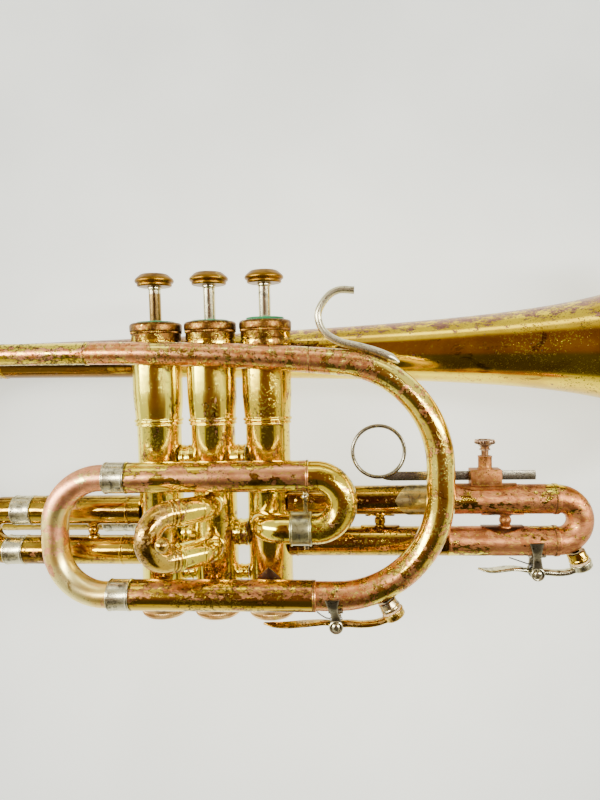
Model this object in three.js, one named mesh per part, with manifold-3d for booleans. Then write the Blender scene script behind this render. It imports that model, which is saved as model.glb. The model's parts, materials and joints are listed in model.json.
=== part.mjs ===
// A long-model three-valve cornet lying on its left side, in millimetres.
//
// The instrument is drawn in its own playing frame and then laid down as one group:
//   X  forward, from the mouthpiece to the bell
//   Y  up, along the valves
//   Z  towards the player's right
// The second valve's axis is the line X = 0, Z = 0, and the bell's axis is near Y = 0.
import * as THREE from 'three';
import { mergeVertices } from 'three/addons/utils/BufferGeometryUtils.js';
import Module from 'manifold-3d';

const wasm = await Module();
wasm.setup();

// ---- Driving dimensions ----

// Clearance left wherever two separate pieces meet.
const GAP = 0.3;

// Resting attitude, in degrees: the bell's rim lifts the front end, and the valves lean
// down towards their bottom caps until the crook meets the table.
const REST_PITCH = 6.55;
const REST_LEAN = 7.87;

// Valves.
const VALVE_SPACING = 26;
const STROKE = 15;
const CASING_RADIUS = 10.4;
const BALUSTER_RADIUS = 11.6;
const PISTON_BORE = 9;
const BUTTON_TOP = 38.5;
const BUTTON_RADIUS = 9.1;
const STEM_RADIUS = 2.8;
const STEM_HOLE = 3.7;
const CAP_TOP = 15.8;
const CAP_RADIUS = 12.2;
const FELT_THICKNESS = 1.2;
const CASING_BOTTOM = -121.6;
const BOTTOM_CAP_TOP = -118;
const BEAD_LEVEL = -30;
const BOTTOM_CAP_BASE = -124.3;
const GUIDE_LEVEL = -36.8;
const BARREL_TOP = -10;
const PISTON_BOTTOM = -101;
const CROSS_TUBES = [
  { height: -48.4, radius: 6.2 },
  { height: -84.1, radius: 6.2 },
  { height: -103.1, radius: 3.4 },
];

// Bell: a stem that opens by a power of the distance to a point ahead of the rim.
const BELL_Y = 0.1;
const BELL_Z = -24.5;
const BELL_TAIL_X = -115;
const BELL_RIM_X = 233;
const BELL_RIM_RADIUS = 60.3;
const FLARE_END = 245;
const FLARE_SCALE = 256;
const FLARE_POWER = 0.57;
const CROOK_RADIUS = 41.6;
const TAIL_Y = BELL_Y - 2 * CROOK_RADIUS;
const TAIL_FERRULE_X = -64;

// Main tubing on the right-hand side of the valves.
const SIDE_Z = 18.5;
const TUBE_RADIUS = 6.95;
const TUBE_BORE = 6.3;
const LEG_RADIUS = 6.0;
const LEG_BORE = 5.4;
const BOW_WALL = 0.8;
const LOWER_Y = -107.8;
const UPPER_Y = -54.2;
const MAIN_BOW_RADIUS = 46;
const MAIN_BOW_X = 57;
const MAIN_BOW_START = 47.1;
const MAIN_BOW_RISE = 11.2;
const RETURN_RADIUS = 11.7;
const TUBE_REAR_X = -35.4;

// Slides beside the valves.
const FIRST_Y = [-73, -92.6];
const FIRST_FERRULE_X = [-89.0, -93.8];
const SECOND_Y = [-68.3, -88.2];
const SECOND_TURN = 48;
const THIRD_Y = [-69.1, -88.5];
const THIRD_JOINT_X = 108.1;
const THIRD_BOW_X = 158;
const RING_X = 77.4;
const RING_Y = -46.4;
const RING_RADIUS = 11.95;
const ROD_Y = -58;

// ---- Directions, routes and solids ----

const at = (x, y, z) => new THREE.Vector3(x, y, z);
const FORWARD = at(1, 0, 0);
const BACK = at(-1, 0, 0);
const UP = at(0, 1, 0);
const DOWN = at(0, -1, 0);
const RIGHT = at(0, 0, 1);
const LEFT = at(0, 0, -1);

// A route is walked like a pipe bender works: straight runs and arcs, one after another.
class Route {
  constructor(start, heading) {
    this.stations = [{ point: start.clone(), heading: heading.clone().normalize() }];
  }

  get last() {
    return this.stations[this.stations.length - 1];
  }

  straight(length) {
    const { point, heading } = this.last;
    this.stations.push({ point: point.clone().addScaledVector(heading, length), heading });
    return this;
  }

  bend(towards, radius, degrees, steps) {
    const { point, heading } = this.last;
    const centre = point.clone().addScaledVector(towards, radius);
    for (let step = 1; step <= steps; step += 1) {
      const angle = THREE.MathUtils.degToRad((degrees * step) / steps);
      const place = centre.clone()
        .addScaledVector(heading, radius * Math.sin(angle))
        .addScaledVector(towards, -radius * Math.cos(angle));
      const way = heading.clone().multiplyScalar(Math.cos(angle))
        .addScaledVector(towards, Math.sin(angle));
      this.stations.push({ point: place, heading: way.normalize() });
    }
    return this;
  }
}

// Stations taken at even steps along a smooth curve.
function alongCurve(curve, steps) {
  const stations = [];
  for (let step = 0; step <= steps; step += 1) {
    stations.push({ point: curve.getPointAt(step / steps), heading: curve.getTangentAt(step / steps) });
  }
  return { stations };
}

const sized = (size, share) => (typeof size === 'function' ? size(share) : size);

// A closed pipe along a route. The radius and the bore may change along it, a bore of 0
// makes a rod, and depth widens its section along Z for a flat strip.
function pipe(route, radius, bore = 0, sides = 12, depth = 1) {
  const { stations } = route;
  const lengths = [0];
  for (let i = 1; i < stations.length; i += 1) {
    lengths.push(lengths[i - 1] + stations[i].point.distanceTo(stations[i - 1].point));
  }
  const total = lengths[lengths.length - 1];
  const first = stations[0].heading;
  const across = (Math.abs(first.z) < 0.5 ? RIGHT : UP).clone();
  const positions = [];
  const index = [];
  stations.forEach(({ point, heading }, i) => {
    across.addScaledVector(heading, -across.dot(heading)).normalize();
    const other = heading.clone().cross(across);
    const share = lengths[i] / total;
    for (const size of [sized(radius, share), sized(bore, share)]) {
      for (let side = 0; side < sides; side += 1) {
        const angle = (2 * Math.PI * (side + 0.5)) / sides;
        const spot = point.clone()
          .addScaledVector(across, size * Math.cos(angle) * depth)
          .addScaledVector(other, size * Math.sin(angle));
        positions.push(spot.x, spot.y, spot.z);
      }
    }
  });
  const ring = (station, layer) => (2 * station + layer) * sides;
  const quad = (a, b, c, d) => index.push(a, b, c, a, c, d);
  const end = stations.length - 1;
  for (let side = 0; side < sides; side += 1) {
    const next = (side + 1) % sides;
    for (let i = 0; i < end; i += 1) {
      const outer = ring(i, 0);
      const outerNext = ring(i + 1, 0);
      quad(outer + side, outer + next, outerNext + next, outerNext + side);
      if (bore) {
        const inner = ring(i, 1);
        const innerNext = ring(i + 1, 1);
        quad(inner + next, inner + side, innerNext + side, innerNext + next);
      }
    }
    if (bore) {
      quad(ring(0, 1) + side, ring(0, 1) + next, ring(0, 0) + next, ring(0, 0) + side);
      quad(ring(end, 0) + side, ring(end, 0) + next, ring(end, 1) + next, ring(end, 1) + side);
    } else if (side > 0 && side < sides - 1) {
      index.push(ring(0, 0), ring(0, 0) + next, ring(0, 0) + side);
      index.push(ring(end, 0), ring(end, 0) + side, ring(end, 0) + next);
    }
  }
  const geometry = new THREE.BufferGeometry();
  geometry.setAttribute('position', new THREE.Float32BufferAttribute(positions, 3));
  geometry.setIndex(index);
  return bore ? geometry : clean(geometry);
}

// Drops the unused vertices and joins the shared ones.
function clean(geometry) {
  const bare = geometry.index ? geometry.toNonIndexed() : geometry.clone();
  bare.deleteAttribute('normal');
  bare.deleteAttribute('uv');
  return mergeVertices(bare, 1e-4);
}

// A solid of revolution about Y. The outline is a list of [radius, height] pairs that
// runs up the outside; a hollow one comes back down the inside and closes on itself.
function turned(outline, sides) {
  const points = outline.map(([radius, height]) => new THREE.Vector2(radius, height));
  if (outline[0][0] > 0) {
    points.push(points[0].clone());
  }
  return new THREE.LatheGeometry(points, sides);
}

// The same about X, with [radius, x] pairs that run backwards along the outside.
const turnedAlongX = (outline, sides) => turned(
  outline.map(([radius, x]) => [radius, -x]),
  sides,
).rotateZ(Math.PI / 2);

// A block between its lowest and its highest corner.
function block(low, high) {
  const size = high.clone().sub(low);
  const centre = high.clone().add(low).multiplyScalar(0.5);
  return new THREE.BoxGeometry(size.x, size.y, size.z).translate(centre.x, centre.y, centre.z);
}

const rod = (from, to, radius, sides = 12) => pipe(
  new Route(from, to.clone().sub(from)).straight(from.distanceTo(to)),
  radius,
  0,
  sides,
);

function toManifold(geometry) {
  const bare = clean(geometry);
  const mesh = new wasm.Mesh({
    numProp: 3,
    vertProperties: new Float32Array(bare.getAttribute('position').array),
    triVerts: new Uint32Array(bare.index.array),
  });
  return new wasm.Manifold(mesh);
}

function toGeometry(manifold) {
  const mesh = manifold.getMesh();
  const geometry = new THREE.BufferGeometry();
  geometry.setAttribute('position', new THREE.BufferAttribute(mesh.vertProperties, 3));
  geometry.setIndex(new THREE.BufferAttribute(mesh.triVerts, 1));
  return geometry;
}

const joined = (...geometries) => toGeometry(
  geometries.map(toManifold).reduce((whole, piece) => whole.add(piece)),
);

const cut = (geometry, ...tools) => toGeometry(
  tools.map(toManifold).reduce((whole, tool) => whole.subtract(tool), toManifold(geometry)),
);

// ---- Materials and the assembly ----

const finish = (color, roughness, metalness = 1) => ({ color, roughness, metalness });
const BRASS = finish(0xc9a227, 0.3);
const WORN_BRASS = finish(0xb98a4a, 0.4);
const TARNISHED = finish(0x7d5a2a, 0.45);
const COPPERY = finish(0xa9694a, 0.45);
const NICKEL = finish(0xb9b6ab, 0.3);
const STEEL = finish(0x8f8f8c, 0.35);
const FELT = finish(0x2f7a3c, 0.95, 0);

const instrument = new THREE.Group();

function add(name, geometry, material) {
  const mesh = new THREE.Mesh(geometry, new THREE.MeshStandardMaterial(material));
  mesh.name = name;
  instrument.add(mesh);
  return mesh;
}

// ---- Valves ----

const VALVE_SIDES = 16;
const PISTON_SIDES = 12;

// A casing, bottom to top: threaded foot, plain tube, bead, swelling and threaded neck.
function casing(number) {
  const foot = CASING_RADIUS - 0.5;
  const shoulder = CAP_TOP - 12.3;
  const neck = 10.3;
  const neckTop = CAP_TOP - 5.3;
  const springRoom = 9.6;
  const body = turned([
    [foot, CASING_BOTTOM],
    [foot, BOTTOM_CAP_TOP],
    [CASING_RADIUS, BOTTOM_CAP_TOP],
    [CASING_RADIUS, BEAD_LEVEL - 2.2],
    [BALUSTER_RADIUS, BEAD_LEVEL - 2.2],
    [BALUSTER_RADIUS, BEAD_LEVEL],
    [CASING_RADIUS + 0.3, BEAD_LEVEL + 0.6],
    [BALUSTER_RADIUS, BEAD_LEVEL + 13],
    [BALUSTER_RADIUS, shoulder],
    [neck, shoulder],
    [neck, neckTop],
    [springRoom, neckTop],
    [springRoom, GUIDE_LEVEL - GAP],
    [PISTON_BORE, GUIDE_LEVEL - GAP],
    [PISTON_BORE, CASING_BOTTOM],
  ], VALVE_SIDES);
  if (number !== 2) {
    return body;
  }
  // The middle casing carries the short cross tubes that join the three casings.
  const reach = VALVE_SPACING - CASING_RADIUS - GAP;
  const bore = rod(at(0, CASING_BOTTOM, 0), at(0, CAP_TOP, 0), PISTON_BORE + GAP, VALVE_SIDES);
  const crossTubes = CROSS_TUBES.map(({ height, radius }) => cut(
    rod(at(-reach, height, 0), at(reach, height, 0), radius, 14),
    bore,
  ));
  return joined(body, ...crossTubes);
}

function topCap() {
  const skirt = CAP_TOP - 12;
  const skirtRadius = CAP_RADIUS - 0.5;
  const inside = 10.6;
  const roof = CAP_TOP - 2.2;
  return turned([
    [inside, skirt],
    [skirtRadius, skirt],
    [skirtRadius, CAP_TOP - 5],
    [CAP_RADIUS, CAP_TOP - 4.6],
    [CAP_RADIUS, CAP_TOP - 0.4],
    [CAP_RADIUS - 0.4, CAP_TOP],
    [STEM_HOLE, CAP_TOP],
    [STEM_HOLE, roof],
    [inside, roof],
  ], VALVE_SIDES);
}

function bottomCap() {
  const radius = 11.2;
  const inside = 10.2;
  const rim = BOTTOM_CAP_TOP - GAP;
  const floor = CASING_BOTTOM - 0.5;
  return turned([
    [0, BOTTOM_CAP_BASE],
    [5, BOTTOM_CAP_BASE],
    [9.5, BOTTOM_CAP_BASE + 1.2],
    [radius, BOTTOM_CAP_BASE + 3.4],
    [radius, rim],
    [inside, rim],
    [inside, floor],
    [0, floor],
  ], VALVE_SIDES);
}

const feltTop = CAP_TOP + GAP + FELT_THICKNESS;
const FELT_RADIUS = 8.8;
const topFelt = () => turned([
  [STEM_HOLE, CAP_TOP + GAP],
  [FELT_RADIUS, CAP_TOP + GAP],
  [FELT_RADIUS, feltTop],
  [STEM_HOLE, feltTop],
], VALVE_SIDES);

// A thin-walled piston with its spring barrel on top and two air passages across it.
function piston() {
  const radius = PISTON_BORE - GAP;
  const wall = 1.1;
  const floor = GUIDE_LEVEL - 3;
  const plate = 1.5;
  const axis = 0.001;
  const shell = turned([
    [radius - wall, PISTON_BOTTOM],
    [radius, PISTON_BOTTOM],
    [radius, BARREL_TOP],
    [axis, BARREL_TOP],
    [axis, BARREL_TOP - plate],
    [radius - wall, BARREL_TOP - plate],
    [radius - wall, floor + plate],
    [axis, floor + plate],
    [axis, floor],
    [radius - wall, floor],
  ], PISTON_SIDES);
  const passage = (height) => rod(at(-12, height - 3, 0), at(12, height + 3, 0), 5.5, 8);
  const slot = block(at(-1.7, GUIDE_LEVEL - 1, -12), at(1.7, GUIDE_LEVEL + STROKE + 3.5, 12));
  return cut(shell, passage(-57), passage(-84), slot);
}

// The bar that keeps the piston from turning and carries the spring's lower end.
const guideTop = GUIDE_LEVEL + 1.2;
const guide = () => block(at(-1.3, GUIDE_LEVEL, -9.1), at(1.3, guideTop, 9.1));

function coil(bottom, top, radius, turns) {
  const wire = 0.45;
  class Helix extends THREE.Curve {
    getPoint(t) {
      const angle = 2 * Math.PI * turns * t;
      const height = THREE.MathUtils.lerp(bottom + wire, top - wire, t);
      return at(radius * Math.cos(angle), height, radius * Math.sin(angle));
    }
  }
  return pipe(alongCurve(new Helix(), turns * 8), wire, 0, 3);
}

const buttonBase = BUTTON_TOP - 5.8;
const stem = () => rod(
  at(0, BARREL_TOP + GAP, 0),
  at(0, buttonBase - GAP, 0),
  STEM_RADIUS,
  10,
);

const button = () => turned([
  [0, buttonBase],
  [7.6, buttonBase],
  [8.0, buttonBase + 1.6],
  [BUTTON_RADIUS, buttonBase + 2.4],
  [BUTTON_RADIUS, buttonBase + 3.8],
  [8.1, buttonBase + 5.2],
  [6.4, BUTTON_TOP],
  [0, BUTTON_TOP],
], VALVE_SIDES);

for (const number of [1, 2, 3]) {
  const pieces = [
    add(`valve_${number}_casing`, casing(number), BRASS),
    add(`valve_${number}_top_cap`, topCap(), TARNISHED),
    add(`valve_${number}_bottom_cap`, bottomCap(), BRASS),
    add(`valve_${number}_felt`, topFelt(), FELT),
    add(`valve_${number}_guide`, guide(), NICKEL),
    add(`valve_${number}_spring`, coil(guideTop + GAP, BARREL_TOP - 1.8, 5.4, 5), STEEL),
    add(`valve_${number}_piston`, piston(), NICKEL),
    add(`valve_${number}_stem`, stem(), NICKEL),
    add(`valve_${number}_button`, button(), TARNISHED),
  ];
  pieces.forEach((piece) => piece.position.setX((number - 2) * VALVE_SPACING));
}

// ---- Bell, crook and tail ----

const bellRadius = (x) => FLARE_SCALE * (FLARE_END - x) ** -FLARE_POWER;

function bell() {
  const wall = 0.7;
  const outside = [BELL_TAIL_X, -40, 20, 70, 110, 140, 162, 180, 194, 206, 215, 222, 227.5];
  const inside = [227.5, 220, 208, 192, 168, 130, 60, BELL_TAIL_X];
  const rim = BELL_RIM_RADIUS;
  const outline = [
    ...outside.map((x) => [bellRadius(x), x]),
    [rim - 1.2, BELL_RIM_X - 2.2],
    [rim, BELL_RIM_X - 1.1],
    [rim - 0.7, BELL_RIM_X],
    [rim - 2.2, BELL_RIM_X - 0.3],
    ...inside.map((x) => [bellRadius(x) - wall, x]),
  ];
  return turnedAlongX(outline.reverse(), 24).translate(0, BELL_Y, BELL_Z);
}

function crook() {
  const route = new Route(at(BELL_TAIL_X - GAP, BELL_Y, BELL_Z), BACK)
    .bend(DOWN, CROOK_RADIUS, 180, 10)
    .straight(TAIL_FERRULE_X - BELL_TAIL_X);
  const start = bellRadius(BELL_TAIL_X);
  const outer = (share) => THREE.MathUtils.lerp(start, 6.5, Math.min(1, share * 1.3));
  return pipe(route, outer, (share) => outer(share) - BOW_WALL, 12);
}

// The ferrule and the elbow that bring the bell's tail into the first casing.
function tail() {
  const ferruleEnd = -47;
  const angle = 60;
  const ferrule = pipe(
    new Route(at(TAIL_FERRULE_X + GAP, TAIL_Y, BELL_Z), FORWARD).straight(ferruleEnd - TAIL_FERRULE_X),
    7.3,
    5.4,
  );
  const elbow = pipe(
    new Route(at(ferruleEnd - 1, TAIL_Y, BELL_Z), FORWARD)
      .straight(1.3)
      .bend(RIGHT, 11.35, angle, 5)
      .straight(10.6),
    6.5,
    5.4,
  );
  return joined(ferrule, elbow);
}

add('bell', bell(), BRASS);
add('bell_crook', crook(), WORN_BRASS);
add('bell_tail', tail(), NICKEL);

// ---- Leadpipe, mouthpiece and main bow ----

const BOW_TURN = 84;
const TOP_RUN_RADIUS = 1210;
const PIPE_SLOPE = 0.6;
const RECEIVER_LENGTH = 35;
const SHANK_DEPTH = 24;
const MOUTHPIECE_REACH = 42;

const mainBowRoute = new Route(at(MAIN_BOW_START, LOWER_Y, SIDE_Z), FORWARD)
  .straight(MAIN_BOW_X - MAIN_BOW_START)
  .bend(UP, MAIN_BOW_RADIUS, 90, 6)
  .straight(MAIN_BOW_RISE)
  .bend(BACK, MAIN_BOW_RADIUS, BOW_TURN, 6);
const bowTop = mainBowRoute.last;
mainBowRoute.bend(
  at(-bowTop.heading.y, bowTop.heading.x, 0),
  TOP_RUN_RADIUS,
  90 - BOW_TURN - PIPE_SLOPE,
  3,
);
const mainBowRadius = (share) => THREE.MathUtils.lerp(6.4, 4.9, share ** 1.5);
add(
  'main_bow',
  pipe(mainBowRoute, mainBowRadius, (share) => mainBowRadius(share) - BOW_WALL, 12),
  WORN_BRASS,
);

const bowEnd = mainBowRoute.last;
const leadpipeRoute = new Route(
  bowEnd.point.clone().addScaledVector(bowEnd.heading, GAP),
  bowEnd.heading,
).straight(107);
add('leadpipe', pipe(leadpipeRoute, 4.9, 4.0), COPPERY);

// The receiver and the mouthpiece are turned about the leadpipe's straight rear end.
const pipeEnd = leadpipeRoute.last;

function placeOnLeadpipe(geometry) {
  return geometry
    .rotateZ(THREE.MathUtils.degToRad(-PIPE_SLOPE))
    .translate(pipeEnd.point.x, pipeEnd.point.y, SIDE_Z);
}

const RECEIVER_FRONT = 9;
const receiverBack = RECEIVER_FRONT - RECEIVER_LENGTH;

function receiver() {
  const front = RECEIVER_FRONT;
  const back = receiverBack;
  return placeOnLeadpipe(turnedAlongX([
    [5.0, back],
    [7.3, back],
    [7.6, back + 1.5],
    [7.3, back + 5],
    [6.5, back + 7],
    [6.3, front - 3],
    [5.7, front],
    [5.2, front],
    [5.2, -GAP],
    [5.0, -GAP],
  ].reverse(), 14));
}

function mouthpiece() {
  const back = receiverBack;
  const tip = back + SHANK_DEPTH;
  const rim = back - MOUTHPIECE_REACH;
  return placeOnLeadpipe(turnedAlongX([
    [2.2, tip],
    [4.2, tip],
    [4.7, back - 1],
    [4.5, back - 14],
    [6.5, back - 17],
    [9.5, rim + 17],
    [12.2, rim + 6],
    [13.5, rim + 2],
    [12.9, rim],
    [9.4, rim],
    [8.2, rim + 1.4],
    [7.4, rim + 7],
    [4.2, rim + 11.5],
    [1.9, rim + 14],
  ], 16));
}

add('mouthpiece_receiver', receiver(), WORN_BRASS);
add('mouthpiece', mouthpiece(), NICKEL);

// ---- Main tuning slide ----

const straightTube = (fromX, toX, y, z, radius, bore, sides = 12) => pipe(
  new Route(at(fromX, y, z), FORWARD).straight(toX - fromX),
  radius,
  bore,
  sides,
);

add(
  'upper_main_tube',
  straightTube(TUBE_REAR_X, 45.8, UPPER_Y, SIDE_Z, TUBE_RADIUS, TUBE_BORE),
  COPPERY,
);
add(
  'lower_main_tube',
  straightTube(TUBE_REAR_X, MAIN_BOW_START - GAP, LOWER_Y, SIDE_Z, TUBE_RADIUS, TUBE_BORE),
  WORN_BRASS,
);

// An inner leg with the ferrule that stops it against its outer tube. The ferrule lies
// behind stopX and the leg reaches forward from it.
function slideLeg(stopX, reach, y, z, ferruleLength, ferruleRadius) {
  return turnedAlongX([
    [LEG_BORE, stopX + reach],
    [LEG_RADIUS, stopX + reach],
    [LEG_RADIUS, stopX - GAP],
    [ferruleRadius, stopX - GAP],
    [ferruleRadius, stopX - GAP - ferruleLength],
    [LEG_BORE, stopX - GAP - ferruleLength],
  ], 12).translate(0, y, z);
}

const FERRULE_LENGTH = 10.3;
const bowStartX = TUBE_REAR_X - FERRULE_LENGTH - 2 * GAP;
for (const [name, y] of [['upper', UPPER_Y], ['lower', LOWER_Y]]) {
  add(
    `tuning_slide_leg_${name}`,
    slideLeg(TUBE_REAR_X, 58, y, SIDE_Z, FERRULE_LENGTH, 7.0),
    NICKEL,
  );
}
const TUNING_RADIUS = 22.5;
const TUNING_BOW_LEAD = 1.8;
add(
  'tuning_slide_bow',
  pipe(
    new Route(at(bowStartX, UPPER_Y, SIDE_Z), BACK)
      .straight(TUNING_BOW_LEAD)
      .bend(DOWN, TUNING_RADIUS, 90, 4)
      .straight(UPPER_Y - LOWER_Y - 2 * TUNING_RADIUS)
      .bend(FORWARD, TUNING_RADIUS, 90, 4)
      .straight(TUNING_BOW_LEAD),
    6.0,
    5.1,
  ),
  WORN_BRASS,
);

// ---- Return bow and elbow into the third casing ----

const RETURN_FERRULE_X = 37.2;
add(
  'return_bow',
  pipe(
    new Route(at(46.1, UPPER_Y, SIDE_Z), FORWARD)
      .straight(2.6)
      .bend(DOWN, RETURN_RADIUS, 180, 7)
      .straight(1.6),
    6.7,
    5.8,
  ),
  BRASS,
);
const returnY = UPPER_Y - 2 * RETURN_RADIUS;
const elbowRadius = SIDE_Z - CASING_RADIUS - GAP;
add(
  'valve_3_elbow',
  joined(
    straightTube(RETURN_FERRULE_X, 46.8, returnY, SIDE_Z, 7.5, 5.8),
    pipe(
      new Route(at(RETURN_FERRULE_X + 1, returnY, SIDE_Z), BACK)
        .straight(RETURN_FERRULE_X + 1 - VALVE_SPACING - elbowRadius)
        .bend(LEFT, elbowRadius, 90, 5),
      6.6,
      5.8,
    ),
  ),
  BRASS,
);

// ---- First valve slide ----

const firstKnuckleX = -VALVE_SPACING - CASING_RADIUS - GAP;

const FIRST_FERRULE = 10;

function ballBrace(x, high, low) {
  const middle = (high + low) / 2;
  const post = rod(at(x, low - 1, 0), at(x, high + 1, 0), 1.7, 8);
  const ball = new THREE.SphereGeometry(2.5, 10, 6).translate(x, middle, 0);
  return [post, ball];
}

function firstSleeves() {
  const tubes = FIRST_Y.map((y, i) => straightTube(
    FIRST_FERRULE_X[i],
    firstKnuckleX,
    y,
    0,
    TUBE_RADIUS,
    TUBE_BORE,
  ));
  const brace = ballBrace(-60.4, FIRST_Y[0] - TUBE_RADIUS, FIRST_Y[1] + TUBE_RADIUS);
  const bores = FIRST_Y.map((y) => rod(at(-110, y, 0), at(-30, y, 0), TUBE_BORE));
  return cut(joined(...tubes, ...brace), ...bores);
}

add('first_slide_sleeves', firstSleeves(), BRASS);
['upper', 'lower'].forEach((name, i) => add(
  `first_slide_leg_${name}`,
  slideLeg(FIRST_FERRULE_X[i], 48, FIRST_Y[i], 0, FIRST_FERRULE, 7.1),
  NICKEL,
));
const firstBowX = FIRST_FERRULE_X.map((x) => x - FIRST_FERRULE - 2 * GAP);
add(
  'first_slide_bow',
  pipe(
    new Route(at(firstBowX[0], FIRST_Y[0], 0), BACK)
      .straight(firstBowX[0] - firstBowX[1] + 0.5)
      .bend(DOWN, (FIRST_Y[0] - FIRST_Y[1]) / 2, 180, 6)
      .straight(0.5),
    6.6,
    5.7,
  ),
  BRASS,
);

// ---- Second valve slide, turned back from the valve towards the player's right ----

const SECOND_SLEEVE = 12;
const SECOND_RADIUS = 6.0;

function secondSleeveRoute(y) {
  return new Route(at(0, y, CASING_RADIUS + GAP), RIGHT)
    .straight(2)
    .bend(BACK, 8.5, SECOND_TURN, 4)
    .straight(SECOND_SLEEVE);
}

function secondCrook() {
  const [upper, lower] = SECOND_Y.map((y) => secondSleeveRoute(y).last);
  const way = upper.heading;
  const radius = (SECOND_Y[0] - SECOND_Y[1]) / 2;
  const ring = 3;
  const inside = 11;
  const start = upper.point.clone().addScaledVector(way, GAP);
  const outer = [upper, lower].map(({ point }) => {
    const from = point.clone().addScaledVector(way, GAP);
    return rod(from, from.clone().addScaledVector(way, ring), SECOND_RADIUS + 0.1);
  });
  const legs = [upper, lower].map(({ point }) => rod(
    point.clone().addScaledVector(way, -inside),
    point.clone().addScaledVector(way, 1),
    5.1,
  ));
  const bow = pipe(
    new Route(start, way).straight(ring).bend(DOWN, radius, 180, 6).straight(ring),
    5.6,
  );
  const outwards = at(way.z, 0, -way.x);
  const top = start.clone()
    .addScaledVector(way, ring + radius - 2.5)
    .addScaledVector(DOWN, radius);
  const knobFoot = rod(top, top.clone().addScaledVector(outwards, 8), 1.6, 8);
  const knob = new THREE.SphereGeometry(3.4, 10, 6)
    .translate(...top.clone().addScaledVector(outwards, 9).toArray());
  const inner = upper.point.clone().addScaledVector(way, -inside - 1);
  const airway = pipe(
    new Route(inner, way)
      .straight(inside + 1 + GAP + ring)
      .bend(DOWN, radius, 180, 6)
      .straight(inside + 1 + GAP + ring),
    4.5,
    0,
    8,
  );
  return cut(joined(...outer, ...legs, bow, knobFoot, knob), airway);
}

['upper', 'lower'].forEach((name, i) => add(
  `second_slide_sleeve_${name}`,
  pipe(secondSleeveRoute(SECOND_Y[i]), SECOND_RADIUS, 5.4),
  BRASS,
));
add('second_slide_crook', secondCrook(), BRASS);

// ---- Third valve slide ----

const thirdKnuckleX = VALVE_SPACING + CASING_RADIUS + GAP;
const THIRD_RADIUS = 6.8;

function thirdSleeves() {
  const tubes = THIRD_Y.map((y) => straightTube(
    thirdKnuckleX,
    THIRD_JOINT_X - GAP,
    y,
    0,
    THIRD_RADIUS,
    TUBE_BORE,
  ));
  const post = rod(at(77.6, THIRD_Y[1] + 5, 0), at(77.6, THIRD_Y[0] - 5, 0), 2.6, 10);
  const bores = THIRD_Y.map((y) => rod(at(30, y, 0), at(120, y, 0), TUBE_BORE));
  return cut(joined(...tubes, post), ...bores);
}

// A moving leg: the inner tube behind the joint and the full-width tube in front of it.
function thirdLeg(y) {
  return turnedAlongX([
    [LEG_BORE, THIRD_BOW_X - GAP],
    [7.0, THIRD_BOW_X - GAP],
    [7.0, THIRD_BOW_X - 2.5],
    [THIRD_RADIUS, THIRD_BOW_X - 2.5],
    [THIRD_RADIUS, THIRD_JOINT_X],
    [LEG_RADIUS, THIRD_JOINT_X],
    [LEG_RADIUS, THIRD_JOINT_X - 58],
    [LEG_BORE, THIRD_JOINT_X - 58],
  ], 12).translate(0, y, 0);
}

add('third_slide_sleeves', thirdSleeves(), BRASS);

// ---- Water keys ----

// A water key hangs under a tube. All its places are measured from the point of the tube's
// axis that lies over the pivot.
const KEY_BARREL = 2.6;
const KEY_HALF_WIDTH = 2.4;
const KEY_EAR = 1.2;
const KEY_PIN = 0.8;

function keySaddle(origin, pivotDrop, tubeRadius) {
  const ear = (side) => {
    const inner = side * (KEY_HALF_WIDTH + GAP);
    const outer = side * (KEY_HALF_WIDTH + GAP + KEY_EAR);
    return block(
      at(-3, -pivotDrop - 2.4, Math.min(inner, outer)),
      at(3, -tubeRadius + 1.6, Math.max(inner, outer)),
    );
  };
  const bridge = block(at(-3, -tubeRadius - 2.4, -3.8), at(3, -tubeRadius + 1.6, 3.8));
  const pin = rod(at(0, -pivotDrop, -4.4), at(0, -pivotDrop, 4.4), KEY_PIN, 8);
  const tube = rod(at(-9, 0, 0), at(9, 0, 0), tubeRadius + GAP, 24);
  const saddle = joined(cut(joined(ear(1), ear(-1), bridge), tube), pin);
  return saddle.translate(origin.x, origin.y, origin.z);
}

// The lever's finger tail lies behind the pivot, and its cup, tilted by tilt degrees, ahead.
function keyLever(origin, pivotDrop, tail, cup, tilt) {
  const pivot = at(0, -pivotDrop, 0);
  const lean = THREE.MathUtils.degToRad(tilt);
  const barrel = rod(at(0, -pivotDrop, -KEY_HALF_WIDTH), at(0, -pivotDrop, KEY_HALF_WIDTH), KEY_BARREL);
  const bore = rod(at(0, -pivotDrop, -4), at(0, -pivotDrop, 4), KEY_PIN + GAP, 8);
  const arm = (to, width) => pipe(
    new Route(pivot, to.clone().sub(pivot)).straight(pivot.distanceTo(to)),
    1.0,
    0,
    8,
    width,
  );
  const head = new THREE.CylinderGeometry(4.8, 4.8, 4.0, 14).rotateZ(lean).translate(cup.x, cup.y, 0);
  const lever = cut(joined(arm(tail, 2.1), arm(cup, 1.8), barrel, head), bore);
  return lever.translate(origin.x, origin.y, origin.z);
}

const FIRST_KEY_DROP = 12.7;
const THIRD_KEY_DROP = 14.7;
const firstKey = at(56.6, LOWER_Y, SIDE_Z);
const thirdKey = at(148.3, THIRD_Y[1], 0);
add('water_key_saddle', keySaddle(firstKey, FIRST_KEY_DROP, 6.4), NICKEL);
add(
  'water_key_lever',
  keyLever(firstKey, FIRST_KEY_DROP, at(-32.2, -13, 0), at(25.4, -7.4, 0), 29),
  BRASS,
);

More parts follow.
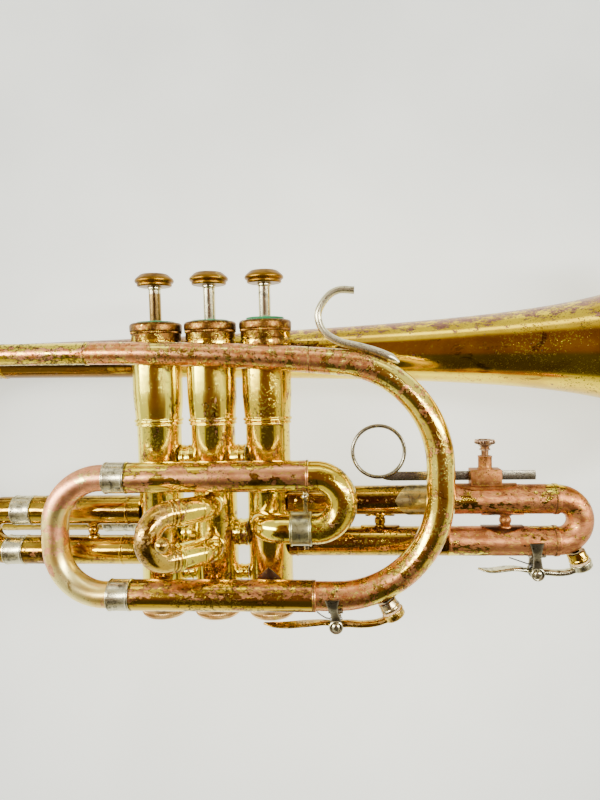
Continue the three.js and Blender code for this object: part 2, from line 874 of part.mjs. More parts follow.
const thirdSaddle = keySaddle(thirdKey, THIRD_KEY_DROP, THIRD_RADIUS - 2 * GAP);
const thirdLegs = THIRD_Y.map(thirdLeg);
add('third_slide_leg_upper', thirdLegs[0], COPPERY);
add('third_slide_leg_lower', joined(thirdLegs[1], thirdSaddle), COPPERY);
add(
  'third_slide_bow',
  pipe(
    new Route(at(THIRD_BOW_X, THIRD_Y[0], 0), FORWARD)
      .straight(0.3)
      .bend(DOWN, (THIRD_Y[0] - THIRD_Y[1]) / 2, 180, 6)
      .straight(0.3),
    (share) => 6.6 - 0.6 * Math.sin(Math.PI * share),
    (share) => 5.7 - 0.6 * Math.sin(Math.PI * share),
  ),
  COPPERY,
);
add(
  'third_water_key_lever',
  keyLever(thirdKey, THIRD_KEY_DROP, at(-24.9, -13.2, 0), at(20.4, -11.4, 0), 24),
  NICKEL,
);

// ---- Finger ring, its rod, block and thumb screw ----

const ROD_HALF_THICKNESS = 0.8;
const ROD_HALF_HEIGHT = 2.15;

function fingerRing() {
  const ring = new THREE.TorusGeometry(RING_RADIUS, 0.9, 6, 28).translate(RING_X, RING_Y, 0);
  const bar = block(
    at(RING_X + 3, ROD_Y - ROD_HALF_HEIGHT, -ROD_HALF_THICKNESS),
    at(148.4, ROD_Y + ROD_HALF_HEIGHT, ROD_HALF_THICKNESS),
  );
  const inside = rod(at(RING_X, RING_Y, -3), at(RING_X, RING_Y, 3), RING_RADIUS - 0.4, 28);
  return joined(cut(bar, inside), ring);
}

const SCREW_X = 125.8;
const BLOCK_TOP = -54.9;
const BOSS_TOP = -49;

function ringBlock() {
  const body = block(at(118.9, -64, -3.8), at(132.7, BLOCK_TOP, 3.8));
  const boss = rod(at(SCREW_X, BLOCK_TOP - 1, 0), at(SCREW_X, BOSS_TOP, 0), 3.1, 14);
  const foot = block(at(112.2, -65.2, -4.6), at(139.9, -61.2, 4.6));
  const tube = rod(at(100, THIRD_Y[0], 0), at(150, THIRD_Y[0], 0), THIRD_RADIUS + GAP, 24);
  const slot = block(
    at(100, ROD_Y - ROD_HALF_HEIGHT - GAP, -ROD_HALF_THICKNESS - GAP),
    at(150, ROD_Y + ROD_HALF_HEIGHT + GAP, ROD_HALF_THICKNESS + GAP),
  );
  const hole = rod(at(SCREW_X, ROD_Y, 0), at(SCREW_X, -40, 0), 2.0, 12);
  return cut(joined(body, boss, foot), tube, slot, hole);
}

function thumbScrew() {
  return turned([
    [0, ROD_Y + ROD_HALF_HEIGHT + GAP],
    [1.7, ROD_Y + ROD_HALF_HEIGHT + GAP],
    [1.7, BOSS_TOP + 3],
    [2.8, BOSS_TOP + 3.4],
    [2.8, BOSS_TOP + 4.6],
    [4.7, BOSS_TOP + 4.8],
    [4.7, BOSS_TOP + 7.2],
    [0, BOSS_TOP + 7.4],
  ], 12).translate(SCREW_X, 0, 0);
}

add('ring_block', ringBlock(), COPPERY);
add('thumb_screw', thumbScrew(), COPPERY);
add('finger_ring', fingerRing(), NICKEL);

// ---- Little-finger hook and the bell brace ----

const HOOK_THICKNESS = 3.2;

function pinkyHook() {
  // The foot follows the top of the main bow, then the hook curls up and forward.
  const footRadius = MAIN_BOW_RADIUS + 6.1 + GAP + HOOK_THICKNESS / 2;
  const footAt = (degrees) => at(
    MAIN_BOW_X + footRadius * Math.cos(THREE.MathUtils.degToRad(degrees)),
    LOWER_Y + MAIN_BOW_RADIUS + MAIN_BOW_RISE + footRadius * Math.sin(THREE.MathUtils.degToRad(degrees)),
    SIDE_Z,
  );
  const curve = new THREE.CatmullRomCurve3([
    footAt(58),
    footAt(66),
    footAt(75),
    at(60.4, 4.2, SIDE_Z),
    at(53.6, 9.0, SIDE_Z),
    at(51.6, 16.4, SIDE_Z),
    at(55.4, 23.2, SIDE_Z),
    at(60.6, 26.2, SIDE_Z),
    at(67.3, 25.9, SIDE_Z),
  ]);
  return pipe(alongCurve(curve, 14), HOOK_THICKNESS / 2, 0, 8, 1.5);
}

// A post between the bell's stem and the main bow's top run, with a foot on each.
function bellBrace(x, leadpipeY) {
  const near = bellRadius(x);
  const far = SIDE_Z - 5.7;
  const level = (BELL_Y + leadpipeY) / 2;
  const post = rod(at(x, level, BELL_Z + near + 0.7), at(x, level, far - GAP - 0.5), 2.2, 10);
  const bellFoot = block(at(x - 7, -1, near + GAP), at(x + 7, 7, near + 1.5))
    .rotateX(THREE.MathUtils.degToRad(-6))
    .translate(0, BELL_Y, BELL_Z);
  const pipeFoot = block(at(x - 6, leadpipeY - 2, far - 1.3), at(x + 6, leadpipeY + 3, far - GAP));
  return joined(post, bellFoot, pipeFoot);
}

add('pinky_hook', pinkyHook(), NICKEL);
add('bell_brace', bellBrace(42, -2.8), NICKEL);

// ---- The cornet laid on its left side ----

// It lies on the bell's rim and on its crook, centred over the origin.
instrument.rotation.set(
  THREE.MathUtils.degToRad(REST_LEAN),
  THREE.MathUtils.degToRad(-REST_PITCH),
  0,
  'XYZ',
);
const cornet = new THREE.Group();
cornet.name = 'cornet';
cornet.add(instrument);
const extent = new THREE.Box3().setFromObject(cornet, true);
const middle = extent.getCenter(new THREE.Vector3());
instrument.position.set(-middle.x, -middle.y, -extent.min.z);

export default cornet;
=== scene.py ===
"""A worn long-model cornet lying on its side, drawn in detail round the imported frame.

Shapes are worked out in the playing frame, in millimetres: X runs forward to the bell, Y up
the valves and Z to the player's right. PLAYING carries them into the row frame, in metres.
"""
import json
import math

import bmesh
import bpy
from mathutils import Matrix, Vector, noise


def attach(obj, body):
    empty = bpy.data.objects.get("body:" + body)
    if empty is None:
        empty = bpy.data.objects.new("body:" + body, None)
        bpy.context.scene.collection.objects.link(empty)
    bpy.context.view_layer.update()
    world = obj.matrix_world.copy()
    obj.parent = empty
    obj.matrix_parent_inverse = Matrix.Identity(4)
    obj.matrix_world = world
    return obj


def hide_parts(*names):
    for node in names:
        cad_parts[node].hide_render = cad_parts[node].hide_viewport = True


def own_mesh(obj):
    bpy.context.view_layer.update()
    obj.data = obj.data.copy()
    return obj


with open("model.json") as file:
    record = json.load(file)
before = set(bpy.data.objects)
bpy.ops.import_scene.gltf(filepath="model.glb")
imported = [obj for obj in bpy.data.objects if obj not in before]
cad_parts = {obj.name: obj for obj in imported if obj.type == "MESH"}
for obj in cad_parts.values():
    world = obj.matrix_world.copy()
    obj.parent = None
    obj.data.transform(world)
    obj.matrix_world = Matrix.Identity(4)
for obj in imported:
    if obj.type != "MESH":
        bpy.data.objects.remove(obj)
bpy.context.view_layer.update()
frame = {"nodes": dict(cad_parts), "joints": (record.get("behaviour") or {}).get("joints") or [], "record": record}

# ---- The playing frame ----

MM = 0.001
BUTTON_TOP = 38.5
joints = {joint["name"]: joint for joint in frame["joints"]}
mounts = {mount["name"]: mount for mount in frame["record"]["mounts"]}
forward_axis = Vector(joints["third_slide_pull"]["axis"]).normalized()
up_axis = -Vector(joints["valve_2_press"]["axis"]).normalized()
right_axis = forward_axis.cross(up_axis).normalized()
valve_origin = Vector(mounts["button_2_top"]["pos_m"]) - up_axis * BUTTON_TOP * MM
ATTITUDE = Matrix((forward_axis, up_axis, right_axis)).transposed()
PLAYING = Matrix.Translation(valve_origin) @ ATTITUDE.to_4x4() @ Matrix.Scale(MM, 4)

BODY_OF = {
    node: body for body, nodes in frame["record"]["behaviour"]["bodies"].items() for node in nodes
}

# ---- Driving dimensions, in millimetres ----

VALVE_SPACING = 26.0
CASING_RADIUS = 10.4
BALUSTER_RADIUS = 11.6
CAP_TOP = 15.8
STEM_RADIUS = 2.8
STEM_HOLE = 3.7
CASING_BOTTOM = -121.6
BOTTOM_CAP_TOP = -118.0
BOTTOM_CAP_BASE = -124.3
BEAD_LEVEL = -30.0
PISTON_TOP = -10.0
SPRING_FOOT = -35.3
SPRING_TOP = PISTON_TOP - 1.8

BELL_Y = 0.1
BELL_Z = -24.5
BELL_TAIL_X = -115.0
BELL_RIM_X = 233.0
BELL_RIM_RADIUS = 60.3
RIM_BEAD = 1.3
RIM_INSET = 0.46
FLARE_END = 245.0
FLARE_SCALE = 256.0
FLARE_POWER = 0.57
BELL_WALL = 0.7
CROOK_RADIUS = 41.6
TAIL_Y = BELL_Y - 2 * CROOK_RADIUS
TAIL_FERRULE_X = -64.0

SIDE_Z = 18.5
TUBE_RADIUS = 6.95
TUBE_BORE = 6.3
LEG_RADIUS = 6.0
LEG_BORE = 5.4
UPPER_Y = -54.2
LOWER_Y = -107.8
TUBE_REAR_X = -35.4
MAIN_BOW_RADIUS = 46.0
MAIN_BOW_X = 57.0
MAIN_BOW_START = 47.1
MAIN_BOW_RISE = 11.2
BOW_TURN = 84.0
TOP_RUN_RADIUS = 1210.0
PIPE_SLOPE = 0.6
LEADPIPE_LENGTH = 107.0
TUNING_RADIUS = 22.5
FERRULE_LENGTH = 10.3
TUNING_BOW_LEAD = 1.8
RETURN_RADIUS = 11.7

FIRST_Y = (-73.0, -92.6)
FIRST_FERRULE_X = (-89.0, -93.8)
FIRST_FERRULE = 10.0
SECOND_Y = (-68.3, -88.2)
SECOND_TURN = 48.0
SECOND_SLEEVE = 12.0
THIRD_Y = (-69.1, -88.5)
THIRD_RADIUS = 6.8
THIRD_JOINT_X = 108.1
THIRD_BOW_X = 158.0
RING_X = 77.4
RING_Y = -46.4
RING_RADIUS = 11.95
ROD_Y = -58.0
SCREW_X = 125.8
BLOCK_TOP = -54.9
BOSS_TOP = -49.0

FORWARD = Vector((1, 0, 0))
BACK = Vector((-1, 0, 0))
UP = Vector((0, 1, 0))
DOWN = Vector((0, -1, 0))
RIGHT = Vector((0, 0, 1))
LEFT = Vector((0, 0, -1))

# ---- Routes and outlines ----


class Route:
    """Walks like a pipe bender: straight runs and arcs, one after another."""

    def __init__(self, start, heading):
        self.stations = [(Vector(start), Vector(heading).normalized())]

    @property
    def last(self):
        return self.stations[-1]

    def straight(self, length, steps=1):
        point, heading = self.last
        for step in range(1, steps + 1):
            self.stations.append((point + heading * (length * step / steps), heading))
        return self

    def bend(self, towards, radius, degrees, steps=0):
        point, heading = self.last
        towards = Vector(towards).normalized()
        centre = point + towards * radius
        steps = steps or max(4, math.ceil(degrees / 4))
        for step in range(1, steps + 1):
            angle = math.radians(degrees * step / steps)
            place = centre + heading * (radius * math.sin(angle)) - towards * (radius * math.cos(angle))
            way = heading * math.cos(angle) + towards * math.sin(angle)
            self.stations.append((place, way.normalized()))
        return self


def through(points, steps=8):
    """Stations along a smooth curve through some points."""
    points = [Vector(point) for point in points]
    padded = [2 * points[0] - points[1], *points, 2 * points[-1] - points[-2]]
    places = []
    for a, b, c, d in zip(padded, padded[1:], padded[2:], padded[3:]):
        for step in range(steps):
            t = step / steps
            places.append(0.5 * (
                2 * b + (c - a) * t + (2 * a - 5 * b + 4 * c - d) * t * t
                + (3 * b - a - 3 * c + d) * t ** 3
            ))
    places.append(points[-1])
    route = Route(places[0], places[1] - places[0])
    route.stations = []
    for i, place in enumerate(places):
        ahead = places[min(i + 1, len(places) - 1)]
        behind = places[max(i - 1, 0)]
        route.stations.append((place, (ahead - behind).normalized()))
    return route


def rounded(outline, size=0.35, steps=3):
    """An outline of (radius, height) pairs with its corners rounded off."""
    closed = outline[0][0] > 0
    result = []
    for i, corner in enumerate(outline):
        if not closed and i in (0, len(outline) - 1):
            result.append(corner)
            continue
        corner = Vector(corner)
        before = Vector(outline[i - 1]) - corner
        after = Vector(outline[(i + 1) % len(outline)]) - corner
        reach = min(size, 0.45 * before.length, 0.45 * after.length)
        start = corner + before.normalized() * reach
        end = corner + after.normalized() * reach
        for step in range(steps + 1):
            t = step / steps
            result.append(tuple(start * (1 - t) ** 2 + corner * 2 * t * (1 - t) + end * t * t))
    return result


def raised(level, outline):
    """An outline whose heights are given from a level."""
    return [(radius, level + height) for radius, height in outline]


def arc(centre, radius, start, end, steps=8):
    """(radius, height) pairs along an arc, with its angles in degrees from the radius axis."""
    pairs = []
    for step in range(steps + 1):
        angle = math.radians(start + (end - start) * step / steps)
        pairs.append((centre[0] + radius * math.cos(angle), centre[1] + radius * math.sin(angle)))
    return pairs


def value_at(size, share):
    return size(share) if callable(size) else size


# ---- Solids ----


class Shape:
    """A mesh in the making, in the playing frame."""

    def __init__(self):
        self.mesh = bmesh.new()

    def skin(self, rings, loop=False):
        """Joins rings of points one after another. A ring of one point closes to it."""
        rows = [[self.mesh.verts.new(point) for point in ring] for ring in rings]
        pairs = list(zip(rows, rows[1:]))
        if loop:
            pairs.append((rows[-1], rows[0]))
        for first, second in pairs:
            count = max(len(first), len(second))
            for i in range(count):
                j = (i + 1) % count
                corners = (
                    first[i % len(first)], first[j % len(first)],
                    second[j % len(second)], second[i % len(second)],
                )
                distinct = list(dict.fromkeys(corners))
                if len(distinct) > 2:
                    self.mesh.faces.new(distinct)
        if not loop:
            for row in (rows[0], rows[-1]):
                if len(row) > 2:
                    self.mesh.faces.new(row)
        return self

    def lathe(self, outline, start=(0, 0, 0), way=UP, sides=64, knurl=None):
        """Turns (radius, height) pairs about an axis.

        knurl is (low, high, count, depth, the radius beyond which it cuts).
        """
        start = Vector(start)
        way = Vector(way).normalized()
        across = way.orthogonal().normalized()
        other = way.cross(across)
        rings = []
        for radius, height in outline:
            centre = start + way * height
            if radius < 1e-6:
                rings.append([centre])
                continue
            ring = []
            for side in range(sides):
                angle = 2 * math.pi * side / sides
                reach = radius
                if knurl and knurl[0] <= height <= knurl[1] and radius > knurl[4]:
                    reach -= knurl[3] * (0.5 - 0.5 * math.cos(angle * knurl[2]))
                ring.append(centre + (across * math.cos(angle) + other * math.sin(angle)) * reach)
            rings.append(ring)
        return self.skin(rings, loop=outline[0][0] > 1e-6)

    def pipe(self, route, radius, bore=0, sides=64, lip=0.25):
        """A pipe or a rod along a route, with its end edges eased by lip."""
        stations = list(route.stations)
        if lip:
            (first, heading), (last, final) = stations[0], stations[-1]
            stations.insert(1, (first + heading * lip, heading))
            stations.insert(-1, (last - final * lip, final))
        lengths = [0.0]
        for (a, _), (b, _) in zip(stations, stations[1:]):
            lengths.append(lengths[-1] + (b - a).length)
        total = lengths[-1]
        across = Vector((0, 0, 1)) if abs(stations[0][1].z) < 0.5 else Vector((0, 1, 0))
        outer, inner = [], []
        end = len(stations) - 1
        for i, (point, heading) in enumerate(stations):
            across = (across - heading * across.dot(heading)).normalized()
            other = heading.cross(across)
            share = lengths[i] / total
            size = value_at(radius, share) - (lip if i in (0, end) else 0)
            turn = [2 * math.pi * side / sides for side in range(sides)]
            spokes = [across * math.cos(a) + other * math.sin(a) for a in turn]
            outer.append([point + spoke * size for spoke in spokes])
            if bore:
                hole = value_at(bore, share)
                inner.append([point + spoke * hole for spoke in spokes])
        if bore:
            return self.skin(outer + inner[::-1], loop=True)
        return self.skin(outer)

    def strip(self, route, half_width, half_thickness, width_way=RIGHT, sides=24, square=0.6):
        """A flat bar along a route, with a softly squared section."""
        stations = route.stations
        rings = []
        for i, (point, heading) in enumerate(stations):
            share = i / (len(stations) - 1)
            wide = (width_way - heading * width_way.dot(heading)).normalized()
            thick = heading.cross(wide)
            ring = []
            for side in range(sides):
                angle = 2 * math.pi * (side + 0.5) / sides
                c, s = math.cos(angle), math.sin(angle)
                across = math.copysign(abs(c) ** square, c) * value_at(half_width, share)
                through_it = math.copysign(abs(s) ** square, s) * value_at(half_thickness, share)
                ring.append(point + wide * across + thick * through_it)
            rings.append(ring)
        return self.skin(rings)

    def patch(self, centre, along, outward, radius, rows, thickness=0.5, columns=8):
        """A plate bent round a tube. Each row is (place along it, left arc, right arc)."""
        centre, along, outward = Vector(centre), Vector(along).normalized(), Vector(outward).normalized()
        side = along.cross(outward)

        def point(place, reach, size):
            angle = reach / radius
            spoke = outward * math.cos(angle) + side * math.sin(angle)
            return centre + along * place + spoke * size

        rings = []
        for place, left, right in rows:
            arcs = [left + (right - left) * i / columns for i in range(columns + 1)]
            top = [point(place, reach, radius + thickness) for reach in arcs]
            under = [point(place, reach, radius - 0.3) for reach in arcs[::-1]]
            rings.append(top + under)
        return self.skin(rings)

    def block(self, low, high, bevel=0.4):
        made = bmesh.ops.create_cube(self.mesh, size=1)["verts"]
        low, high = Vector(low), Vector(high)
        size, middle = high - low, (high + low) / 2
        for vertex in made:
            vertex.co = Vector(a * b for a, b in zip(vertex.co, size)) + middle
        if bevel:
            edges = list({edge for vertex in made for edge in vertex.link_edges})
            bmesh.ops.bevel(
                self.mesh, geom=edges, offset=bevel, segments=3, profile=0.5, affect="EDGES",
            )
        return self

    def ball(self, centre, radius, segments=32):
        made = bmesh.ops.create_uvsphere(
            self.mesh, u_segments=segments, v_segments=segments // 2, radius=radius,
        )["verts"]
        bmesh.ops.translate(self.mesh, verts=made, vec=Vector(centre))
        return self

    def tube(self, from_x, to_x, y, z, radius, bore, sides=64, lip=0.3):
        """A straight tube along X."""
        route = Route((from_x, y, z), FORWARD).straight(to_x - from_x, 6)
        return self.pipe(route, radius, bore, sides, lip)

    def collar(self, centre, way, radius, width, swell=0.35):
        """A narrow soldered ring round a tube."""
        outline = [
            (radius - 0.4, -width / 2), (radius + 0.05, -width / 2), (radius + swell, -width / 4),
            (radius + swell, width / 4), (radius + 0.05, width / 2), (radius - 0.4, width / 2),
        ]
        return self.lathe(rounded(outline, 0.2, 2), centre, way, 64)


def place(shape, name, material, node=None, body=None, slot=None, sharp=32):
    """Turns a shape into a piece of the scene that rides on its body."""
    bmesh.ops.recalc_face_normals(shape.mesh, faces=shape.mesh.faces)
    shape.mesh.transform(PLAYING)
    mesh = bpy.data.meshes.new(name)
    shape.mesh.to_mesh(mesh)
    shape.mesh.free()
    mesh.shade_smooth()
    mesh.set_sharp_from_angle(angle=math.radians(sharp))
    mesh.materials.append(material)
    piece = bpy.data.objects.new(name, mesh)
    bpy.context.scene.collection.objects.link(piece)
    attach(piece, body or BODY_OF[node])
    if node:
        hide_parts(node)
    return piece


def detailed(node, shape, material, sharp=32):
    """A finely made piece that stands for one CAD node."""
    return place(shape, node + "_fine", material, node=node, sharp=sharp)


# ---- Materials ----


def colour(red, green, blue):
    """A colour given in 0 to 255 screen values, as the linear one that a shader takes."""
    def linear(value):
        value /= 255
        return value / 12.92 if value <= 0.04045 else ((value + 0.055) / 1.055) ** 2.4

    return linear(red), linear(green), linear(blue), 1


class Tree:
    """A node tree, written as nested calls. place is the position that its textures follow."""

    def __init__(self, tree):
        self.tree = tree
        self.place = None

    def node(self, kind, settings=(), **inputs):
        made = self.tree.nodes.new(kind)
        for key, value in dict(settings).items():
            setattr(made, key, value)
        for key, value in inputs.items():
            self.put(made.inputs[key.replace("_", " ")], value)
        return made

    def put(self, socket, value):
        if isinstance(value, bpy.types.NodeSocket):
            self.tree.links.new(value, socket)
        elif value is not None:
            socket.default_value = value

    def stretch(self, x=1.0, y=1.0, z=1.0, turn=(0, 0, 0)):
        made = self.node("ShaderNodeMapping", Vector=self.place)
        made.inputs["Scale"].default_value = (x, y, z)
        made.inputs["Rotation"].default_value = turn
        return made.outputs[0]

    def noise(self, scale, detail=4.0, rough=0.6, distortion=0.0, vector=None):
        made = self.node(
            "ShaderNodeTexNoise", Vector=vector or self.place, Scale=scale, Detail=detail,
            Roughness=rough, Distortion=distortion,
        )
        return made.outputs["Fac"]

    def cells(self, scale):
        return self.node("ShaderNodeTexVoronoi", Vector=self.place, Scale=scale).outputs["Distance"]

    def math(self, operation, first, second=None, clamp=False):
        made = self.tree.nodes.new("ShaderNodeMath")
        made.operation = operation
        made.use_clamp = clamp
        self.put(made.inputs[0], first)
        self.put(made.inputs[1], second)
        return made.outputs[0]

    def plus(self, first, second, clamp=False):
        return self.math("ADD", first, second, clamp)

    def minus(self, first, second, clamp=False):
        return self.math("SUBTRACT", first, second, clamp)

    def times(self, first, second, clamp=False):
        return self.math("MULTIPLY", first, second, clamp)

    def step(self, value, low, high, to_low=0.0, to_high=1.0, smooth=True):
        """Rises from to_low to to_high as value goes from low to high."""
        made = self.tree.nodes.new("ShaderNodeMapRange")
        made.interpolation_type = "SMOOTHSTEP" if smooth else "LINEAR"
        for socket, number in zip(made.inputs, (value, low, high, to_low, to_high)):
            self.put(socket, number)
        return made.outputs[0]

    def mix(self, first, second, factor, blend="MIX"):
        made = self.tree.nodes.new("ShaderNodeMix")
        made.data_type = "RGBA"
        made.blend_type = blend
        self.put(made.inputs[0], factor)
        self.put(made.inputs[6], first)
        self.put(made.inputs[7], second)
        return made.outputs[2]


class Graph(Tree):
    """A material in the playing frame, with one Principled shader."""

    def __init__(self, name):
        self.material = bpy.data.materials.new(name)
        self.material.use_nodes = True
        super().__init__(self.material.node_tree)
        self.tree.nodes.clear()
        self.output = self.tree.nodes.new("ShaderNodeOutputMaterial")
        self.shader = self.tree.nodes.new("ShaderNodeBsdfPrincipled")
        self.tree.links.new(self.shader.outputs[0], self.output.inputs[0])
        place_node = self.tree.nodes.new("ShaderNodeTexCoord")
        mapping = self.tree.nodes.new("ShaderNodeMapping")
        back = ATTITUDE.transposed()
        mapping.inputs["Scale"].default_value = (1 / MM,) * 3
        mapping.inputs["Rotation"].default_value = back.to_euler("XYZ")
        mapping.inputs["Location"].default_value = -(back @ valve_origin) / MM
        self.tree.links.new(place_node.outputs["Object"], mapping.inputs["Vector"])
        self.place = mapping.outputs[0]
        self.split = self.node("ShaderNodeSeparateXYZ", Vector=self.place)

    def set(self, **inputs):
        for key, value in inputs.items():
            self.put(self.shader.inputs[key.replace("_", " ")], value)

    def bump(self, height, strength, distance):
        made = self.node("ShaderNodeBump", Height=height, Strength=strength, Distance=distance)
        self.put(self.shader.inputs["Normal"], made.outputs[0])


BRASS_YELLOW = colour(246, 222, 78)
BRASS_DEEP = colour(208, 172, 40)
BRASS_BROWN = colour(128, 88, 24)
BRASS_BARE = colour(232, 174, 116)
COPPER = colour(198, 132, 82)
COPPER_DARK = colour(134, 88, 46)
TARNISH = colour(52, 40, 14)
NEAR_BLACK = colour(30, 24, 12)
NICKEL_LIGHT = colour(208, 200, 162)
NICKEL_DARK = colour(122, 116, 94)


def worn_brass(
    name, lacquer=BRASS_YELLOW, deep=BRASS_DEEP, bare=BRASS_BARE, bare_deep=COPPER, bareness=0.42,
    bias=None, freckles=0.5, stretch=(1, 1, 1), patch_scale=0.15, gloss=0.1, bare_roughness=0.26,
    burn=0.35, grime_and_shade_lines=(), waves=0.3, outline=0.85, scorch_and_shade=BRASS_BROWN, flakes=0.85,
    crowding=None, painted_shade=None,
):
    """Lacquered brass, worn through in ragged patches, freckled, stained and scratched; dark joint rings of grime
    and painted shade, and an optional painted shade mask.
    """
    graph = Graph(name)
    long = graph.stretch(*stretch)
    wear = graph.noise(patch_scale, 6, 0.6, 0.5, long)
    fine_wear = graph.noise(patch_scale * 4.5, 5, 0.65, 0.2, long)
    wear = graph.plus(graph.times(wear, 0.62), graph.times(fine_wear, 0.38))
    if bias:
        wear = graph.plus(wear, bias(graph))
    level = 1 - bareness
    worn = graph.step(wear, level - 0.006, level + 0.006)
    edge = graph.math(
        "MULTIPLY",
        graph.step(wear, level - 0.022, level - 0.004),
        graph.step(wear, level + 0.02, level + 0.002),
    )
    cloud = graph.noise(0.045, 5, 0.6, 0.3, long)
    lacquered = graph.mix(lacquer, deep, graph.step(cloud, 0.40, 0.62))
    scorch = graph.step(graph.noise(0.09, 7, 0.68, 0.8, long), 0.62 - 0.16 * burn, 0.68 - 0.12 * burn)
    lacquered = graph.mix(lacquered, scorch_and_shade, graph.times(scorch, 0.8))
    # Painted shade: where the mask given here is set, the lacquer is mixed towards the dark scorch colour.
    if painted_shade:
        lacquered = graph.mix(lacquered, scorch_and_shade, painted_shade(graph))
    stain = graph.noise(0.25, 6, 0.68, 0.5, long)
    bared = graph.mix(bare, bare_deep, graph.step(stain, 0.42, 0.60))
    flake = graph.step(graph.noise(0.8, 5, 0.72, 0.3, long), 0.56, 0.58)
    bared = graph.mix(bared, lacquer, graph.times(flake, flakes))
    surface = graph.mix(lacquered, bared, worn)
    surface = graph.mix(surface, TARNISH, graph.times(edge, outline))
    crowd = graph.noise(0.06, 4, 0.65, 0.4, long)
    spots = graph.cells(0.62)
    spot_size = graph.step(crowd, 0.42, 0.60, 0.02, 0.10 + 0.26 * freckles)
    spot = graph.step(graph.minus(spot_size, spots), 0.0, 0.05)
    threshold = graph.step(crowd, 0.38, 0.62, 0.68, 0.62 - 0.07 * freckles)
    if crowding:
        threshold = graph.minus(threshold, crowding(graph))
    mottle = graph.step(graph.minus(graph.noise(0.8, 5, 0.7, 0.3), threshold), 0.0, 0.02)
    dark = graph.math("MAXIMUM", graph.times(spot, 0.85), graph.times(mottle, 0.85))
    # Dark rings at the listed joints: grime, and painted shade in the gaps between the parts.
    for axis, where in grime_and_shade_lines:
        off = graph.math("ABSOLUTE", graph.minus(graph.split.outputs[axis], where))
        joint_grime_and_shade = graph.step(graph.plus(off, graph.noise(0.9, 3, 0.6)), 0.95, 0.55)
        dark = graph.math("MAXIMUM", dark, graph.times(joint_grime_and_shade, 0.85))
    surface = graph.mix(surface, TARNISH, dark)
    scratch_way = graph.stretch(stretch[0] * 0.25, stretch[1] * 2.2, 2.0, (0.2, 0.3, 0.5))
    scratches = graph.step(graph.noise(1.6, 2, 0.5, 0.0, scratch_way), 0.66, 0.70)
    surface = graph.mix(surface, BRASS_BARE, graph.times(scratches, 0.5))
    rough = graph.plus(gloss, graph.times(worn, bare_roughness - gloss))
    rough = graph.plus(rough, graph.times(dark, 0.35))
    rough = graph.plus(rough, graph.times(graph.noise(0.4, 4, 0.7), 0.08), clamp=True)
    graph.set(Base_Color=surface, Roughness=rough, Metallic=1.0)
    height = graph.plus(graph.times(worn, -0.12), graph.noise(0.07, 3, 0.5))
    height = graph.plus(height, graph.times(dark, -0.1))
    graph.bump(height, waves, 0.00035)
    return graph.material


def tarnished_brass(name, base=colour(150, 98, 34), dark=colour(84, 48, 20), glow=BRASS_YELLOW):
    """Old bare brass gone olive brown, with brighter rubbed spots."""
    graph = Graph(name)
    cloud = graph.noise(0.12, 6, 0.65, 0.8)
    surface = graph.mix(base, dark, graph.step(cloud, 0.35, 0.7))
    rubbed = graph.step(graph.noise(0.22, 5, 0.7, 0.5), 0.60, 0.70)
    surface = graph.mix(surface, glow, graph.times(rubbed, 0.75))
    grime = graph.step(graph.noise(1.3, 4, 0.8), 0.58, 0.72)
    surface = graph.mix(surface, NEAR_BLACK, graph.times(grime, 0.5))
    rough = graph.plus(graph.times(cloud, 0.35), 0.16)
    rough = graph.minus(rough, graph.times(rubbed, 0.1), clamp=True)
    graph.set(Base_Color=surface, Roughness=rough, Metallic=1.0)
    graph.bump(graph.noise(0.5, 4, 0.6), 0.3, 0.00005)
    return graph.material


def nickel(
    name, grain=(1, 1, 1), stain=0.35, gloss=0.18, light=NICKEL_LIGHT, worn_below=None,
):
    """Nickel silver, dulled and scratched across, with grey and brown stains.

    Below worn_below, if it is given, the plating has gone and olive brass shows.
    """
    graph = Graph(name)
    brushed = graph.noise(1.8, 4, 0.75, 0.0, graph.stretch(*grain))
    cloud = graph.noise(0.2, 6, 0.7, 0.6)
    surface = graph.mix(light, NICKEL_DARK, graph.step(cloud, 0.60 - stain * 0.18, 0.66 - stain * 0.06))
    specks = graph.step(graph.noise(0.7, 6, 0.8, 0.4), 0.54, 0.60)
    surface = graph.mix(surface, TARNISH, graph.times(specks, stain))
    if worn_below is not None:
        ragged = graph.plus(graph.split.outputs["Y"], graph.noise(0.5, 4, 0.7))
        gone = graph.step(ragged, worn_below + 1.0, worn_below)
        surface = graph.mix(surface, colour(128, 98, 38), graph.times(gone, 0.9))
    rough = graph.plus(graph.times(brushed, 0.22), gloss)
    rough = graph.plus(rough, graph.times(cloud, 0.12), clamp=True)
    graph.set(Base_Color=surface, Roughness=rough, Metallic=1.0)
    graph.bump(brushed, 0.18, 0.00004)
    return graph.material


def felt_material():
    graph = Graph("green_felt")
    fibre = graph.noise(2.2, 8, 0.8, 1.5)
    surface = graph.mix(colour(2, 84, 38), colour(8, 128, 62), graph.step(fibre, 0.3, 0.7))
    graph.set(Base_Color=surface, Roughness=0.95, Sheen_Weight=0.4, Sheen_Roughness=0.5)
    graph.bump(fibre, 0.8, 0.0003)
    return graph.material


def cork_material():
    graph = Graph("key_cork")
    grain = graph.cells(1.4)
    surface = graph.mix(colour(150, 112, 72), colour(214, 184, 140), graph.step(grain, 0.1, 0.6))
    graph.set(Base_Color=surface, Roughness=0.85)
    graph.bump(grain, 0.5, 0.0002)
    return graph.material


def steel_material(name, tone):
    graph = Graph(name)
    fleck = graph.noise(0.8, 5, 0.7)
    surface = graph.mix(tone, colour(60, 58, 56), graph.step(fleck, 0.5, 0.8))
    graph.set(
        Base_Color=surface, Roughness=graph.step(fleck, 0.2, 0.9, 0.22, 0.5), Metallic=1.0,
    )
    graph.bump(fleck, 0.2, 0.00004)
    return graph.material


def towards(axis, start, end, gain):
    """A bias that grows by gain from start to end along one axis of the playing frame."""
    return lambda graph: graph.step(graph.split.outputs[axis], start, end, 0.0, gain)


